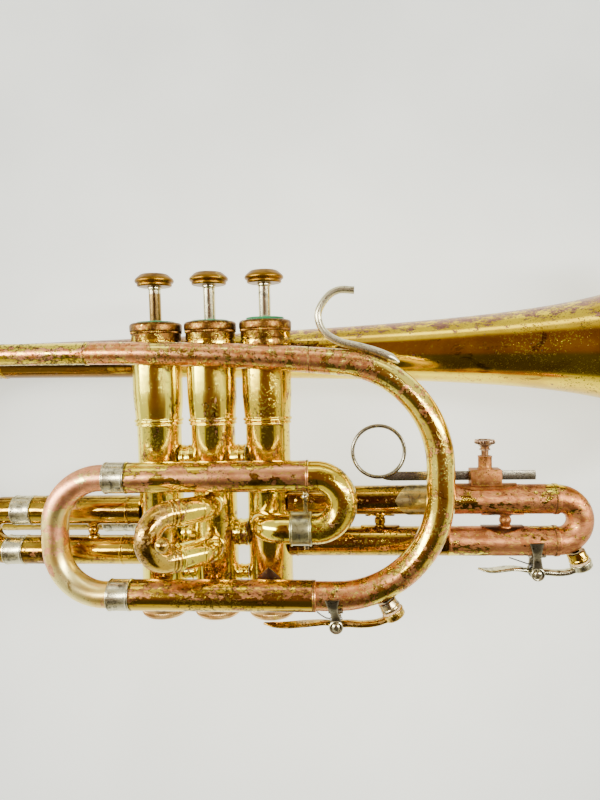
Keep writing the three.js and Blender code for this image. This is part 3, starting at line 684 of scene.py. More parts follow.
def off_axis(graph, level, slope=0.0):
    """How far a point lies above or below a tube's axis, which passes the valves at level."""
    axis = graph.plus(graph.times(graph.split.outputs["X"], slope), level)
    return graph.minus(graph.split.outputs["Y"], axis)


def middle(level, slope, start, end, gain):
    """A bias of gain along the middle of a tube, which fades out from start to end off its axis."""
    def band(graph):
        off = graph.math("ABSOLUTE", off_axis(graph, level, slope))
        return graph.step(off, start, end, gain, 0.0)

    return band


def bell_top(gain):
    """A bias that grows towards the upper side of the bell, wherever its radius has got to."""
    def band(graph):
        room = graph.minus(FLARE_END, graph.split.outputs["X"])
        radius = graph.times(graph.math("POWER", room, -FLARE_POWER), FLARE_SCALE)
        return graph.step(graph.math("DIVIDE", off_axis(graph, BELL_Y), radius), 0.35, 1.0, 0.0, gain)

    return band


def summed(*terms):
    def total(graph):
        value = terms[0](graph)
        for term in terms[1:]:
            value = graph.plus(value, term(graph))
        return value

    return total


# The route of the main bow and the leadpipe, which several finishes follow.
bow_route = Route((MAIN_BOW_START, LOWER_Y, SIDE_Z), FORWARD)
bow_route.straight(MAIN_BOW_X - MAIN_BOW_START, 3).bend(UP, MAIN_BOW_RADIUS, 90, 30)
bow_route.straight(MAIN_BOW_RISE, 4).bend(BACK, MAIN_BOW_RADIUS, BOW_TURN, 28)
turned = bow_route.last[1]
bow_route.bend(
    Vector((-turned.y, turned.x, 0)), TOP_RUN_RADIUS, 90 - BOW_TURN - PIPE_SLOPE, 24,
)
pipe_route = Route(*bow_route.last).straight(LEADPIPE_LENGTH + 0.3, 24)
joint_point, joint_way = pipe_route.stations[0]
pipe_end, pipe_way = pipe_route.last
LEAD_SLOPE = joint_way.y / joint_way.x
LEAD_LEVEL = joint_point.y - LEAD_SLOPE * joint_point.x

brass = worn_brass(
    "casing_brass", lacquer=colour(252, 234, 84), deep=colour(234, 202, 56), bareness=0.42,
    freckles=0.7, stretch=(1, 0.55, 1), patch_scale=0.12, burn=0.15, bare=colour(206, 146, 96),
    bare_deep=colour(150, 96, 62),
)
# Painted shade: from the valves back, the bell's stem is mixed wholly into its dark scorch colour.
bell_brass = worn_brass(
    "bell_brass", lacquer=colour(246, 214, 44), bareness=0.37, freckles=0.5, stretch=(0.6, 1, 1),
    patch_scale=0.25, bias=bell_top(0.17), burn=0.1, waves=0.15, bare=colour(178, 128, 104),
    bare_deep=colour(140, 98, 82), flakes=0.6, painted_shade=towards("X", -8, -34, 1.0), outline=0.6,
    scorch_and_shade=colour(112, 78, 18),
)
slide_brass = worn_brass(
    "slide_brass", lacquer=colour(206, 172, 52), deep=colour(150, 114, 34), bareness=0.41,
    freckles=0.9, stretch=(0.5, 1, 1), burn=0.6, scorch_and_shade=colour(104, 66, 22),
)
return_brass = worn_brass(
    "return_brass", lacquer=colour(240, 212, 64), bareness=0.40, freckles=1.2, burn=0.2,
    crowding=towards("X", 46, 66, 0.06),
)
upper_copper = worn_brass(
    "upper_tube_copper", bareness=0.44, freckles=0.8, stretch=(0.6, 1, 1), patch_scale=0.13,
    bias=summed(
        middle(UPPER_Y + 0.8, 0, 2.6, 4.2, 0.07), towards("X", -26, -8, 0.03), towards("X", 40, 24, 0.01),
    ), grime_and_shade_lines=(("X", -34.8), ("X", 45.3)), bare=colour(234, 164, 112), flakes=0.5,
)
lead_copper = worn_brass(
    "leadpipe_copper", bareness=0.44, freckles=1.0, stretch=(0.4, 1, 1), patch_scale=0.16,
    bias=middle(LEAD_LEVEL, LEAD_SLOPE, 1.2, 3.4, 0.09), grime_and_shade_lines=(("X", -52),), flakes=0.8,
    crowding=lambda graph: graph.minus(0.08, middle(LEAD_LEVEL, LEAD_SLOPE, 1.2, 2.4, 0.06)(graph)),
    bare=colour(242, 168, 126), bare_deep=colour(206, 124, 66),
)
bow_brass = worn_brass(
    "main_bow_brass", lacquer=colour(252, 232, 104), deep=colour(232, 198, 72), bareness=0.43,
    freckles=0.9, patch_scale=0.13,
    bias=summed(
        towards("X", 88, 48, 0.08), towards("Y", -72, -104, 0.09), towards("Y", -34, -8, 0.03),
    ), grime_and_shade_lines=(("X", 47.2),), bare=colour(232, 160, 104), bare_deep=colour(196, 120, 62),
)
lower_brass = worn_brass(
    "lower_tube_brass", lacquer=colour(226, 188, 56), bareness=0.43, freckles=1.0, bare=COPPER,
    bare_deep=COPPER_DARK, stretch=(0.5, 1, 1), burn=0.4, grime_and_shade_lines=(("X", -34.8), ("X", 46.7)),
    bias=summed(towards("Y", LOWER_Y - 1, LOWER_Y + 4, 0.08), towards("X", -40, 40, 0.02)),
)
tuning_brass = worn_brass(
    "tuning_bow_brass", lacquer=colour(255, 238, 150), deep=colour(240, 204, 108), bareness=0.43,
    freckles=0.15, bare=colour(232, 160, 118), bare_deep=colour(210, 140, 94), patch_scale=0.05,
    bias=summed(towards("Y", -72, -56, 0.12), towards("X", -52, -66, 0.02)), gloss=0.26,
    bare_roughness=0.34, outline=0.2, burn=0.1, flakes=0.2,
)
third_copper = worn_brass(
    "third_slide_copper", bareness=0.52, freckles=0.6, bare=colour(198, 130, 82), stretch=(0.6, 1, 1),
    bare_deep=colour(152, 92, 50), bare_roughness=0.40, bias=towards("X", 104, 124, 0.05),
    grime_and_shade_lines=(("X", 155.9),), burn=0.4, flakes=0.25,
)
crook_brass = worn_brass(
    "second_crook_brass", lacquer=colour(222, 186, 74), deep=colour(176, 134, 40), bareness=0.47,
    freckles=0.8, bare=colour(206, 164, 92), bare_deep=colour(160, 118, 52), burn=0.3,
)
screw_brass = tarnished_brass("screw_brass", base=colour(184, 158, 128), dark=colour(128, 96, 70))
ring_copper = worn_brass(
    "block_copper", bareness=0.72, freckles=0.5, bare=colour(170, 112, 64), bare_deep=colour(138, 86, 44),
    bare_roughness=0.46, flakes=0.2,
)
olive_brass = tarnished_brass("button_brass", base=colour(144, 104, 26), dark=colour(104, 70, 14))
cap_brass = worn_brass(
    "cap_brass", bareness=0.50, freckles=0.3, stretch=(1, 0.6, 1), bare=colour(112, 74, 30),
    bare_deep=colour(78, 48, 18), burn=0.6, scorch_and_shade=colour(96, 62, 24), outline=0.5, flakes=0.2,
    bias=towards("Y", CAP_TOP - 6.5, CAP_TOP - 5.0, 0.12), bare_roughness=0.34,
)
foot_brass = tarnished_brass("bottom_cap_brass", base=colour(230, 192, 122), dark=colour(184, 138, 76))
dark_plate = tarnished_brass("dark_flange", base=colour(120, 78, 46), dark=colour(72, 54, 40))
bright_nickel = nickel("nickel_ferrule", grain=(0.2, 2, 2), stain=0.5, gloss=0.1)
return_nickel = nickel(
    "nickel_return_ferrule", grain=(2.5, 0.15, 2.5), stain=0.5, gloss=0.16, light=colour(170, 164, 116),
)
worn_nickel = nickel("nickel_worn", grain=(1, 1, 1), stain=0.75, gloss=0.08)
dark_nickel = nickel(
    "nickel_dark", grain=(1, 1, 1), stain=0.9, gloss=0.14, light=colour(132, 122, 100),
)
key_nickel = nickel(
    "nickel_nipple", grain=(1, 1, 1), stain=0.8, gloss=0.1, light=colour(190, 168, 118),
)
stem_nickel = nickel("nickel_stem", grain=(1, 0.1, 1), stain=0.1, gloss=0.03)
half_worn_nickel = nickel(
    "nickel_half_worn", grain=(1, 0.1, 1), stain=0.3, gloss=0.05, worn_below=BUTTON_TOP - 9,
)
silver = nickel("silver_plate", grain=(1, 1, 1), stain=0.12, gloss=0.06, light=colour(226, 222, 212))
spring_steel = steel_material("spring_wire", colour(150, 150, 152))
piston_metal = nickel("piston_nickel", grain=(1, 0.15, 1), stain=0.1, gloss=0.1)
green_felt = felt_material()
cork = cork_material()

# ---- Valves ----


def casing(number):
    x = (number - 2) * VALVE_SPACING
    swell_low, swell_high = BEAD_LEVEL + 1.0, BEAD_LEVEL + 14
    baluster = []
    for step in range(13):
        share = step / 12
        radius = 10.8 + (BALUSTER_RADIUS - 10.8) * math.sin(share * math.pi / 2)
        baluster.append((radius, swell_low + (swell_high - swell_low) * share))
    outline = [
        (9.9, CASING_BOTTOM), (9.9, BOTTOM_CAP_TOP), (CASING_RADIUS, BOTTOM_CAP_TOP),
        (CASING_RADIUS, BEAD_LEVEL - 2.4), *arc((10.7, BEAD_LEVEL - 1.8), 0.55, -90, 90, 6),
        (10.7, BEAD_LEVEL - 1.1), *arc((10.75, BEAD_LEVEL), 0.85, -80, 80, 8),
        *baluster, (BALUSTER_RADIUS, CAP_TOP - 14.6), (BALUSTER_RADIUS, CAP_TOP - 12.3),
        (10.3, CAP_TOP - 12.3), (10.3, CAP_TOP - 5.3), (9.6, CAP_TOP - 5.3), (9.6, -37.1),
        (9.0, -37.1), (9.0, CASING_BOTTOM),
    ]
    shape = Shape().lathe(rounded(outline, 0.12, 2), (x, 0, 0), UP, 96)
    if number == 2:
        # Short tubes that join the three casings, with a bead at each end.
        for height, radius in ((-48.4, 6.2), (-84.1, 6.2), (-103.1, 3.4)):
            for side in (-1, 1):
                near, far = CASING_RADIUS - 1.6, VALVE_SPACING - CASING_RADIUS - 0.2
                tube = [
                    (radius - 1, near), (radius, near), (radius, near + 2.2), (radius + 0.4, near + 2.5),
                    (radius + 0.4, near + 3.1), (radius, near + 3.4), (radius, far - 1.2),
                    (radius + 0.3, far - 1.0), (radius + 0.3, far), (radius - 1, far),
                ]
                shape.lathe(rounded(tube, 0.15, 2), (0, height, 0), FORWARD * side, 48)
    return shape


def top_cap(x):
    outline = raised(CAP_TOP, [
        (10.6, -12), (11.5, -12), (11.7, -11.6), (11.7, -9.0), (11.2, -8.8), (11.2, -8.5), (11.6, -8.3),
        (11.6, -5.3), (11.95, -5.1), (12.0, -4.8), (12.0, -4.4), (11.9, -4.2), (12.15, -3.9), (12.2, -3.0),
        *arc((10.7, -1.6), 1.5, 5, 80, 8), (9.6, -0.1), (9.2, -0.35), (STEM_HOLE + 0.5, -0.35),
        (STEM_HOLE, -0.6), (STEM_HOLE, -2.2), (10.6, -2.2),
    ])
    knurl = (CAP_TOP - 5.15, CAP_TOP - 4.25, 84, 0.3, 11.8)
    return Shape().lathe(rounded(outline, 0.12, 2), (x, 0, 0), UP, 336, knurl)


def bottom_cap(x):
    outline = raised(BOTTOM_CAP_BASE, [
        (0, 0), (5, 0), (7.8, 0.4), (9.8, 1.2), (10.7, 2.0), (11.0, 2.8), (11.2, 3.0), (11.2, 4.2),
        (10.9, 4.4),
    ])
    outline += [
        (11.1, BOTTOM_CAP_TOP - 0.3), (10.0, BOTTOM_CAP_TOP - 0.3), (10.0, CASING_BOTTOM - 0.5),
        (0, CASING_BOTTOM - 0.5),
    ]
    knurl = (BOTTOM_CAP_BASE + 2.9, BOTTOM_CAP_BASE + 4.3, 84, 0.25, 10.95)
    return Shape().lathe(rounded(outline, 0.2, 2), (x, 0, 0), UP, 336, knurl)


def felt_washer(x, low, thickness, radius):
    """A felt disc with a slightly ragged edge."""
    outline = rounded(
        [(STEM_HOLE, low), (radius, low), (radius, low + thickness), (STEM_HOLE, low + thickness)], 0.5, 3,
    )
    shape = Shape().lathe(outline, (x, 0, 0), UP, 96)
    for vertex in shape.mesh.verts:
        ragged = noise.noise(vertex.co * 1.3) * 0.16
        spoke = Vector((vertex.co.x - x, 0, vertex.co.z))
        if spoke.length > STEM_HOLE + 1:
            vertex.co += spoke.normalized() * ragged + UP * ragged * 0.4
    return shape


def button(x):
    outline = raised(BUTTON_TOP, [
        (0, -5.8), (7.4, -5.8), (7.9, -5.55), (8.1, -5.1), (8.05, -4.5), (7.9, -4.3), (8.6, -4.05),
        (9.0, -3.6), (9.1, -3.1), (9.0, -2.6), (8.5, -1.9), (6.6, -0.25), (6.1, 0), (5.9, 0),
        (5.6, -0.2), (0, -0.2),
    ])
    return Shape().lathe(rounded(outline, 0.15, 2), (x, 0, 0), UP, 96)


def stem(x):
    outline = [(0, PISTON_TOP + 0.3), (STEM_RADIUS, PISTON_TOP + 0.3)]
    outline += raised(BUTTON_TOP, [
        (STEM_RADIUS, -7.2), (STEM_RADIUS + 0.5, -6.8), (STEM_RADIUS + 0.5, -5.7), (0, -5.7),
    ])
    return Shape().lathe(rounded(outline, 0.2, 2), (x, 0, 0), UP, 48)


def spring(x, bottom, top, radius, turns):
    wire = 0.45
    stations = []
    count = turns * 32
    for step in range(count + 1):
        share = step / count
        angle = 2 * math.pi * turns * share
        height = bottom + wire + (top - bottom - 2 * wire) * share
        point = Vector((x + radius * math.cos(angle), height, radius * math.sin(angle)))
        rise = (top - bottom) / (2 * math.pi * turns)
        way = Vector((-radius * math.sin(angle), rise, radius * math.cos(angle)))
        stations.append((point, way.normalized()))
    route = Route((0, 0, 0), UP)
    route.stations = stations
    return Shape().pipe(route, wire, 0, 12, 0.1)


for number in (1, 2, 3):
    x = (number - 2) * VALVE_SPACING
    valve = f"valve_{number}_"
    detailed(valve + "casing", casing(number), brass)
    detailed(valve + "top_cap", top_cap(x), cap_brass)
    detailed(valve + "bottom_cap", bottom_cap(x), foot_brass)
    felt_height = 1.45 if number == 3 else 0.8
    detailed(valve + "felt", felt_washer(x, CAP_TOP - 0.3, felt_height, 8.8), green_felt)
    detailed(valve + "button", button(x), olive_brass)
    detailed(valve + "stem", stem(x), half_worn_nickel if number == 1 else stem_nickel)
    coil = detailed(valve + "spring", spring(x, SPRING_FOOT, SPRING_TOP, 5.4, 5), spring_steel)
    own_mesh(coil)
    for inner in ("piston", "guide"):
        node = frame["nodes"][valve + inner]
        node.data.materials.clear()
        node.data.materials.append(piston_metal)

# ---- Bell, crook and tail ----


def bell_radius(x):
    return FLARE_SCALE * (FLARE_END - x) ** -FLARE_POWER


def bell():
    outside, inside = [], []
    count = 110
    for step in range(count + 1):
        share = step / count
        x = BELL_TAIL_X + (BELL_RIM_X - 2.0 - BELL_TAIL_X) * (1 - (1 - share) ** 1.8)
        radius = bell_radius(x)
        slope = radius * FLARE_POWER / (FLARE_END - x)
        length = math.hypot(slope, 1)
        outside.append((radius, x))
        inside.append((radius - BELL_WALL / length, x + BELL_WALL * slope / length))
    bead = arc(
        (BELL_RIM_RADIUS - RIM_BEAD - RIM_INSET, BELL_RIM_X - RIM_BEAD), RIM_BEAD, -130, 150, 14,
    )
    outline = outside + bead + inside[::-1]
    return Shape().lathe(outline, (0, BELL_Y, BELL_Z), FORWARD, 160)


def crook_size(share):
    start = bell_radius(BELL_TAIL_X)
    return start + (6.5 - start) * min(1, share * 1.3)


def bell_crook():
    route = Route((BELL_TAIL_X, BELL_Y, BELL_Z), BACK)
    route.bend(DOWN, CROOK_RADIUS, 180).straight(TAIL_FERRULE_X - BELL_TAIL_X, 8)
    shape = Shape().pipe(route, crook_size, lambda share: crook_size(share) - 0.8, 72, 0.2)
    shape.collar((BELL_TAIL_X + 0.3, BELL_Y, BELL_Z), BACK, crook_size(0), 2.4, 0.3)
    return shape


def bell_tail():
    ferrule_end = -47.0
    length = ferrule_end - TAIL_FERRULE_X
    outline = [
        (5.4, 0), (7.0, 0), (7.35, 0.4), (7.35, 1.4), (7.15, 1.8), (7.15, length - 1.8),
        (7.35, length - 1.4), (7.35, length - 0.4), (7.0, length), (5.4, length),
    ]
    shape = Shape().lathe(rounded(outline, 0.2, 2), (TAIL_FERRULE_X, TAIL_Y, BELL_Z), FORWARD, 64)
    route = Route((ferrule_end - 1, TAIL_Y, BELL_Z), FORWARD).straight(1.3)
    route.bend(RIGHT, 11.35, 60).straight(11.6)
    return shape.pipe(route, 6.5, 5.4, 64, 0)


detailed("bell", bell(), bell_brass, 60)
detailed("bell_crook", bell_crook(), slide_brass)
detailed("bell_tail", bell_tail(), worn_nickel)

# ---- Main bow, leadpipe, receiver and mouthpiece ----


def bow_size(share):
    return 6.4 + (4.9 - 6.4) * share ** 1.5


main_bow = Shape().pipe(bow_route, bow_size, lambda share: bow_size(share) - 0.8, 72, 0.2)
main_bow.collar((MAIN_BOW_START + 0.2, LOWER_Y, SIDE_Z), FORWARD, 6.6, 1.6, 0.3)
detailed("main_bow", main_bow, bow_brass)

leadpipe = Shape().pipe(pipe_route, 4.9, 4.0, 64, 0)
leadpipe.collar(joint_point, joint_way, 4.9, 1.8, 0.35)
detailed("leadpipe", leadpipe, lead_copper)


def receiver():
    outline = [
        (5.0, 26), (7.0, 26), (7.3, 25.7), (7.5, 25), (7.5, 23.4), (7.2, 23), (7.3, 22.4), (7.1, 21),
        (6.5, 19.2), (6.4, 4), (6.3, -6), (6.5, -6.4), (6.5, -7.6), (5.9, -8.6), (5.3, -9), (5.2, -9),
        (5.2, 0), (5.0, 0),
    ]
    return Shape().lathe(rounded(outline, 0.3, 3), pipe_end, pipe_way, 64)


def mouthpiece():
    """A cornet mouthpiece: shank, cup body and a rounded rim, hollow through the throat."""
    back = 26.0
    rim = back + 42
    outside = [
        (4.15, back - 24), (4.6, back - 8), (4.7, back + 2), (4.55, back + 12), (4.9, back + 14),
        (5.6, back + 15), (5.7, back + 16), (5.4, back + 16.8), (6.4, back + 18.5), (8.2, back + 21.5),
        (9.6, back + 25), (10.9, back + 29), (12.0, back + 33), (12.7, back + 36.5),
        *arc((11.9, rim - 1.7), 1.6, -25, 88, 8),
    ]
    inside = [
        *arc((10.6, rim - 1.5), 1.5, 92, 175, 6), (8.6, rim - 4), (7.9, rim - 7), (6.6, rim - 9.6),
        (4.2, rim - 12), (2.2, rim - 13.8), (1.9, rim - 15), (2.2, back - 24),
    ]
    return Shape().lathe(rounded(outside + inside, 0.5, 3), pipe_end, pipe_way, 96)


detailed("mouthpiece_receiver", receiver(), slide_brass)
detailed("mouthpiece", mouthpiece(), silver, 45)

# ---- Main tuning slide and its outer tubes ----

upper_tube = Shape().tube(TUBE_REAR_X, 46.1, UPPER_Y, SIDE_Z, TUBE_RADIUS, TUBE_BORE)
upper_tube.collar((45.4, UPPER_Y, SIDE_Z), FORWARD, TUBE_RADIUS, 1.2, 0.25)
detailed("upper_main_tube", upper_tube, upper_copper)
lower_tube = Shape().tube(
    TUBE_REAR_X, MAIN_BOW_START - 0.2, LOWER_Y, SIDE_Z, TUBE_RADIUS, TUBE_BORE,
)
detailed("lower_main_tube", lower_tube, lower_brass)


def slide_leg(stop_x, reach, y, z, length, radius):
    """An inner leg and its ferrule. The ferrule lies behind stop_x."""
    start = stop_x - 0.15 - length
    outline = [
        (LEG_BORE, stop_x + reach), (LEG_RADIUS, stop_x + reach), (LEG_RADIUS, stop_x - 0.15),
        (radius, stop_x - 0.15), (radius + 0.25, stop_x - 0.5), (radius + 0.25, stop_x - 1.1),
        (radius, stop_x - 1.4), (radius, start + 1.2), (radius + 0.25, start + 0.9),
        (radius + 0.25, start + 0.3), (radius - 0.2, start), (LEG_BORE, start),
    ]
    return Shape().lathe(rounded(outline, 0.15, 2), (0, y, z), FORWARD, 72)


for name, y in (("upper", UPPER_Y), ("lower", LOWER_Y)):
    leg = slide_leg(TUBE_REAR_X, 58, y, SIDE_Z, FERRULE_LENGTH, 7.0)
    detailed("tuning_slide_leg_" + name, leg, bright_nickel)
bow_back_x = TUBE_REAR_X - FERRULE_LENGTH - 0.3
tuning_route = Route((bow_back_x + 1, UPPER_Y, SIDE_Z), BACK).straight(TUNING_BOW_LEAD + 1)
tuning_route.bend(DOWN, TUNING_RADIUS, 90).straight(UPPER_Y - LOWER_Y - 2 * TUNING_RADIUS, 4)
tuning_route.bend(FORWARD, TUNING_RADIUS, 90).straight(TUNING_BOW_LEAD + 1)
detailed("tuning_slide_bow", Shape().pipe(tuning_route, 6.0, 5.1, 72, 0.1), tuning_brass)

# ---- Return bow, its ferrule and the elbow into the third casing ----

return_y = UPPER_Y - 2 * RETURN_RADIUS
return_route = Route((45.9, UPPER_Y, SIDE_Z), FORWARD).straight(2.8)
return_route.bend(DOWN, RETURN_RADIUS, 180).straight(1.7)
detailed("return_bow", Shape().pipe(return_route, 6.7, 5.8, 72, 0.2), return_brass)
FERRULE_X = (37.3, 46.9)


def elbow():
    bend = SIDE_Z - CASING_RADIUS + 0.6
    route = Route((FERRULE_X[0] + 2, return_y, SIDE_Z), BACK)
    route.straight(FERRULE_X[0] + 2 - VALVE_SPACING - bend + 0.9).bend(LEFT, bend, 90)
    return Shape().pipe(route, 6.6, 5.8, 72, 0)


def ring_ferrule(x0, x1, y, z, radius):
    length = x1 - x0
    outline = [
        (radius - 1.2, 0), (radius, 0), (radius + 0.3, 0.4), (radius + 0.3, 0.9), (radius, 1.2),
        (radius, length - 1.2), (radius + 0.3, length - 0.9), (radius + 0.3, length - 0.4),
        (radius, length), (radius - 1.2, length),
    ]
    return Shape().lathe(rounded(outline, 0.15, 2), (x0, y, z), FORWARD, 72)


detailed("valve_3_elbow", elbow(), brass)
place(
    ring_ferrule(*FERRULE_X, return_y, SIDE_Z, 7.3), "return_ferrule", return_nickel,
    body="root", slot="nickel_silver",
)

# ---- First valve slide ----


def ball_brace(shape, x, high, low, z=0.0, ball=2.6, post=1.5):
    middle = (high + low) / 2
    outline = [
        (0, low - 0.8), (post + 1.6, low - 0.8), (post + 1.2, low + 0.5), (post, low + 1.0),
        *arc((0, middle), ball, -50, 50, 10), (post, high - 1.0), (post + 1.2, high - 0.5),
        (post + 1.6, high + 0.8), (0, high + 0.8),
    ]
    return shape.lathe(rounded(outline, 0.2, 2), (x, 0, z), UP, 48)


first_sleeves = Shape()
for y, rear in zip(FIRST_Y, FIRST_FERRULE_X):
    first_sleeves.tube(rear, -VALVE_SPACING - CASING_RADIUS + 1.2, y, 0, TUBE_RADIUS, TUBE_BORE)
for y, ring_x in zip(FIRST_Y, (-41.7, -45.2)):
    first_sleeves.collar((ring_x, y, 0), FORWARD, TUBE_RADIUS, 1.4, 0.22)
ball_brace(first_sleeves, -60.4, FIRST_Y[0] - TUBE_RADIUS, FIRST_Y[1] + TUBE_RADIUS)
detailed("first_slide_sleeves", first_sleeves, slide_brass)
for name, y, rear in zip(("upper", "lower"), FIRST_Y, FIRST_FERRULE_X):
    leg = slide_leg(rear, 48, y, 0, FIRST_FERRULE, 7.0)
    detailed("first_slide_leg_" + name, leg, bright_nickel)
first_bow_x = [x - FIRST_FERRULE - 0.3 for x in FIRST_FERRULE_X]
first_route = Route((first_bow_x[0] + 1, FIRST_Y[0], 0), BACK)
first_route.straight(first_bow_x[0] - first_bow_x[1] + 1.5, 3)
first_route.bend(DOWN, (FIRST_Y[0] - FIRST_Y[1]) / 2, 180).straight(1.5)
detailed("first_slide_bow", Shape().pipe(first_route, 6.6, 5.7, 72, 0.2), slide_brass)

# ---- Second valve slide ----


def second_route(y, run=SECOND_SLEEVE):
    route = Route((0, y, CASING_RADIUS - 1.2), RIGHT).straight(3.5)
    return route.bend(BACK, 8.5, SECOND_TURN).straight(run, 3)


for name, y in zip(("upper", "lower"), SECOND_Y):
    shape = Shape().pipe(second_route(y), 6.0, 5.4, 64, 0.3)
    point, way = second_route(y).last
    shape.collar(point - way * 1.4, way, 6.0, 1.6, 0.28)
    shape.collar(point - way * (SECOND_SLEEVE - 0.4), way, 6.0, 1.2, 0.2)
    shape.collar((0, y, CASING_RADIUS + 0.5), RIGHT, 6.0, 1.6, 0.5)
    detailed("second_slide_sleeve_" + name, shape, brass)


def second_crook():
    radius = (SECOND_Y[0] - SECOND_Y[1]) / 2
    upper, way = second_route(SECOND_Y[0]).last
    shape = Shape()
    for y in SECOND_Y:
        end = second_route(y).last[0]
        shape.collar(end + way * 1.2, way, 5.9, 2.0, 0.3)
        shape.collar(end + way * 3.2, way, 5.7, 1.0, 0.25)
        shape.pipe(Route(end - way * 11, way).straight(13), 5.1, 4.5, 48, 0.1)
    start = upper + way * 0.3
    route = Route(start, way).straight(3).bend(DOWN, radius, 180).straight(3)
    shape.pipe(route, 5.6, 4.5, 72, 0.2)
    outwards = Vector((way.z, 0, -way.x))
    foot = start + way * (3 + radius - 2.5) + DOWN * radius
    outline = [
        (0, 2), (3.2, 2), (2.4, 4.8), (1.6, 5.6), (1.4, 6.6), (2.2, 7.0), (2.2, 7.4),
        *arc((0, 9.3), 3.3, -42, 80, 10), (0, 12.6),
    ]
    shape.lathe(outline, foot, outwards, 48)
    return shape


detailed("second_slide_crook", second_crook(), crook_brass, 40)

# ---- Third valve slide ----

third_sleeves = Shape()
for y in THIRD_Y:
    third_sleeves.tube(
        VALVE_SPACING + CASING_RADIUS - 1.2, THIRD_JOINT_X - 0.2, y, 0, THIRD_RADIUS, TUBE_BORE,
    )
    third_sleeves.collar((39.0, y, 0), FORWARD, THIRD_RADIUS, 1.2, 0.25)


def lens(length, width, ends=0.4, count=12):
    """Rows of a plate that narrows towards both ends."""
    rows = []
    for step in range(count + 1):
        share = 2 * step / count - 1
        half = ends + (width - ends) * (1 - abs(share) ** 1.6)
        rows.append((share * length, -half, half))
    return rows


def braced(shape, x, radius, pads, post):
    """A turned post between the two third-slide tubes, with a lens-shaped pad at each end."""
    high, low = THIRD_Y[0] - radius, THIRD_Y[1] + radius
    for y, way, size in zip(THIRD_Y, (DOWN, UP), pads):
        shape.patch((x, y, 0), FORWARD, way, radius, lens(*size), 0.7)
    outline = [
        (0, low - 1), (post + 0.3, low - 1), (post + 0.3, low + 0.8), (post - 0.1, low + 1.2),
        (post + 0.5, (low + high) / 2 - 1.0), (post + 0.5, (low + high) / 2 + 1.0),
        (post - 0.1, high - 1.2), (post + 0.3, high - 0.8), (post + 0.3, high + 1), (0, high + 1),
    ]
    return shape.lathe(rounded(outline, 0.25, 3), (x, 0, 0), UP, 48)


braced(third_sleeves, 77.6, THIRD_RADIUS, ((6.8, 4.4), (9.0, 5.0)), 2.1)
detailed("third_slide_sleeves", third_sleeves, slide_brass)


def third_leg(y):
    outline = [
        (LEG_BORE, THIRD_BOW_X), (7.0, THIRD_BOW_X), (7.1, THIRD_BOW_X - 0.4), (7.1, THIRD_BOW_X - 1.8),
        (THIRD_RADIUS, THIRD_BOW_X - 2.3), (THIRD_RADIUS, THIRD_JOINT_X + 1.2),
        (THIRD_RADIUS + 0.15, THIRD_JOINT_X + 0.9), (THIRD_RADIUS + 0.15, THIRD_JOINT_X),
        (LEG_RADIUS, THIRD_JOINT_X), (LEG_RADIUS, THIRD_JOINT_X - 58), (LEG_BORE, THIRD_JOINT_X - 58),
    ]
    return Shape().lathe(rounded(outline, 0.15, 2), (0, y, 0), FORWARD, 72)


third_route = Route((THIRD_BOW_X - 0.5, THIRD_Y[0], 0), FORWARD).straight(0.8)
third_route.bend(DOWN, (THIRD_Y[0] - THIRD_Y[1]) / 2, 180).straight(0.8)


def third_bow_size(share):
    return 6.6 - 0.6 * math.sin(math.pi * share)


third_bow = Shape().pipe(third_route, third_bow_size, lambda share: third_bow_size(share) - 0.9, 72, 0.2)
detailed("third_slide_bow", third_bow, third_copper)
detailed("third_slide_leg_upper", third_leg(THIRD_Y[0]), third_copper)

moving_brace = Shape()
ball_brace(
    moving_brace, 134.7, THIRD_Y[0] - THIRD_RADIUS, THIRD_Y[1] + THIRD_RADIUS, 0, 2.75, 1.9,
)
place(moving_brace, "third_slide_ball_post", ring_copper, body="third_slide", slot="coppery_brass")
brace_pads = Shape()
for y, way, size in ((THIRD_Y[0], DOWN, (9.4, 4.6)), (THIRD_Y[1], UP, (9.4, 5.6))):
    brace_pads.patch((133.3, y, 0), FORWARD, way, THIRD_RADIUS, lens(*size, 2.0), 0.55)
place(brace_pads, "third_slide_ball_pads", dark_plate, body="third_slide", slot="coppery_brass")

# The nickel guard round the upper outer tube ends in a point.
guard = Shape()
guard_rows = []
for step in range(17):
    share = step / 16
    half = 0.3 + 9.4 * min(1, share * 3.4) ** 0.9
    guard_rows.append((84.2 + (THIRD_JOINT_X - 0.4 - 84.2) * share, -half, half))
guard.patch((0, THIRD_Y[0], 0), FORWARD, Vector((0, 0.12, 1)), THIRD_RADIUS, guard_rows, 0.35, 24)
guard_nickel = nickel("guard_nickel", (1, 1, 1), 0.5, 0.14, colour(192, 172, 112))
place(guard, "third_slide_guard", guard_nickel, body="root", slot="nickel_silver")

# ---- Water keys ----

KEY_HALF_WIDTH = 2.4
FIRST_KEY = Vector((56.6, LOWER_Y, SIDE_Z))
FIRST_DROP = 12.7
THIRD_KEY = Vector((148.3, THIRD_Y[1], 0))
THIRD_DROP = 14.7


def strap_width(share):
    return 3.4 - 1.6 * math.sin(min(1, share * 1.25) * math.pi / 1.25) ** 0.7


def touch_width(share):
    spoon = 1.9 * math.sin(min(1, share * 1.15) * math.pi / 1.3) ** 2
    return 1.6 + spoon - 2.4 * max(0, share - 0.85) / 0.15 * 0.9


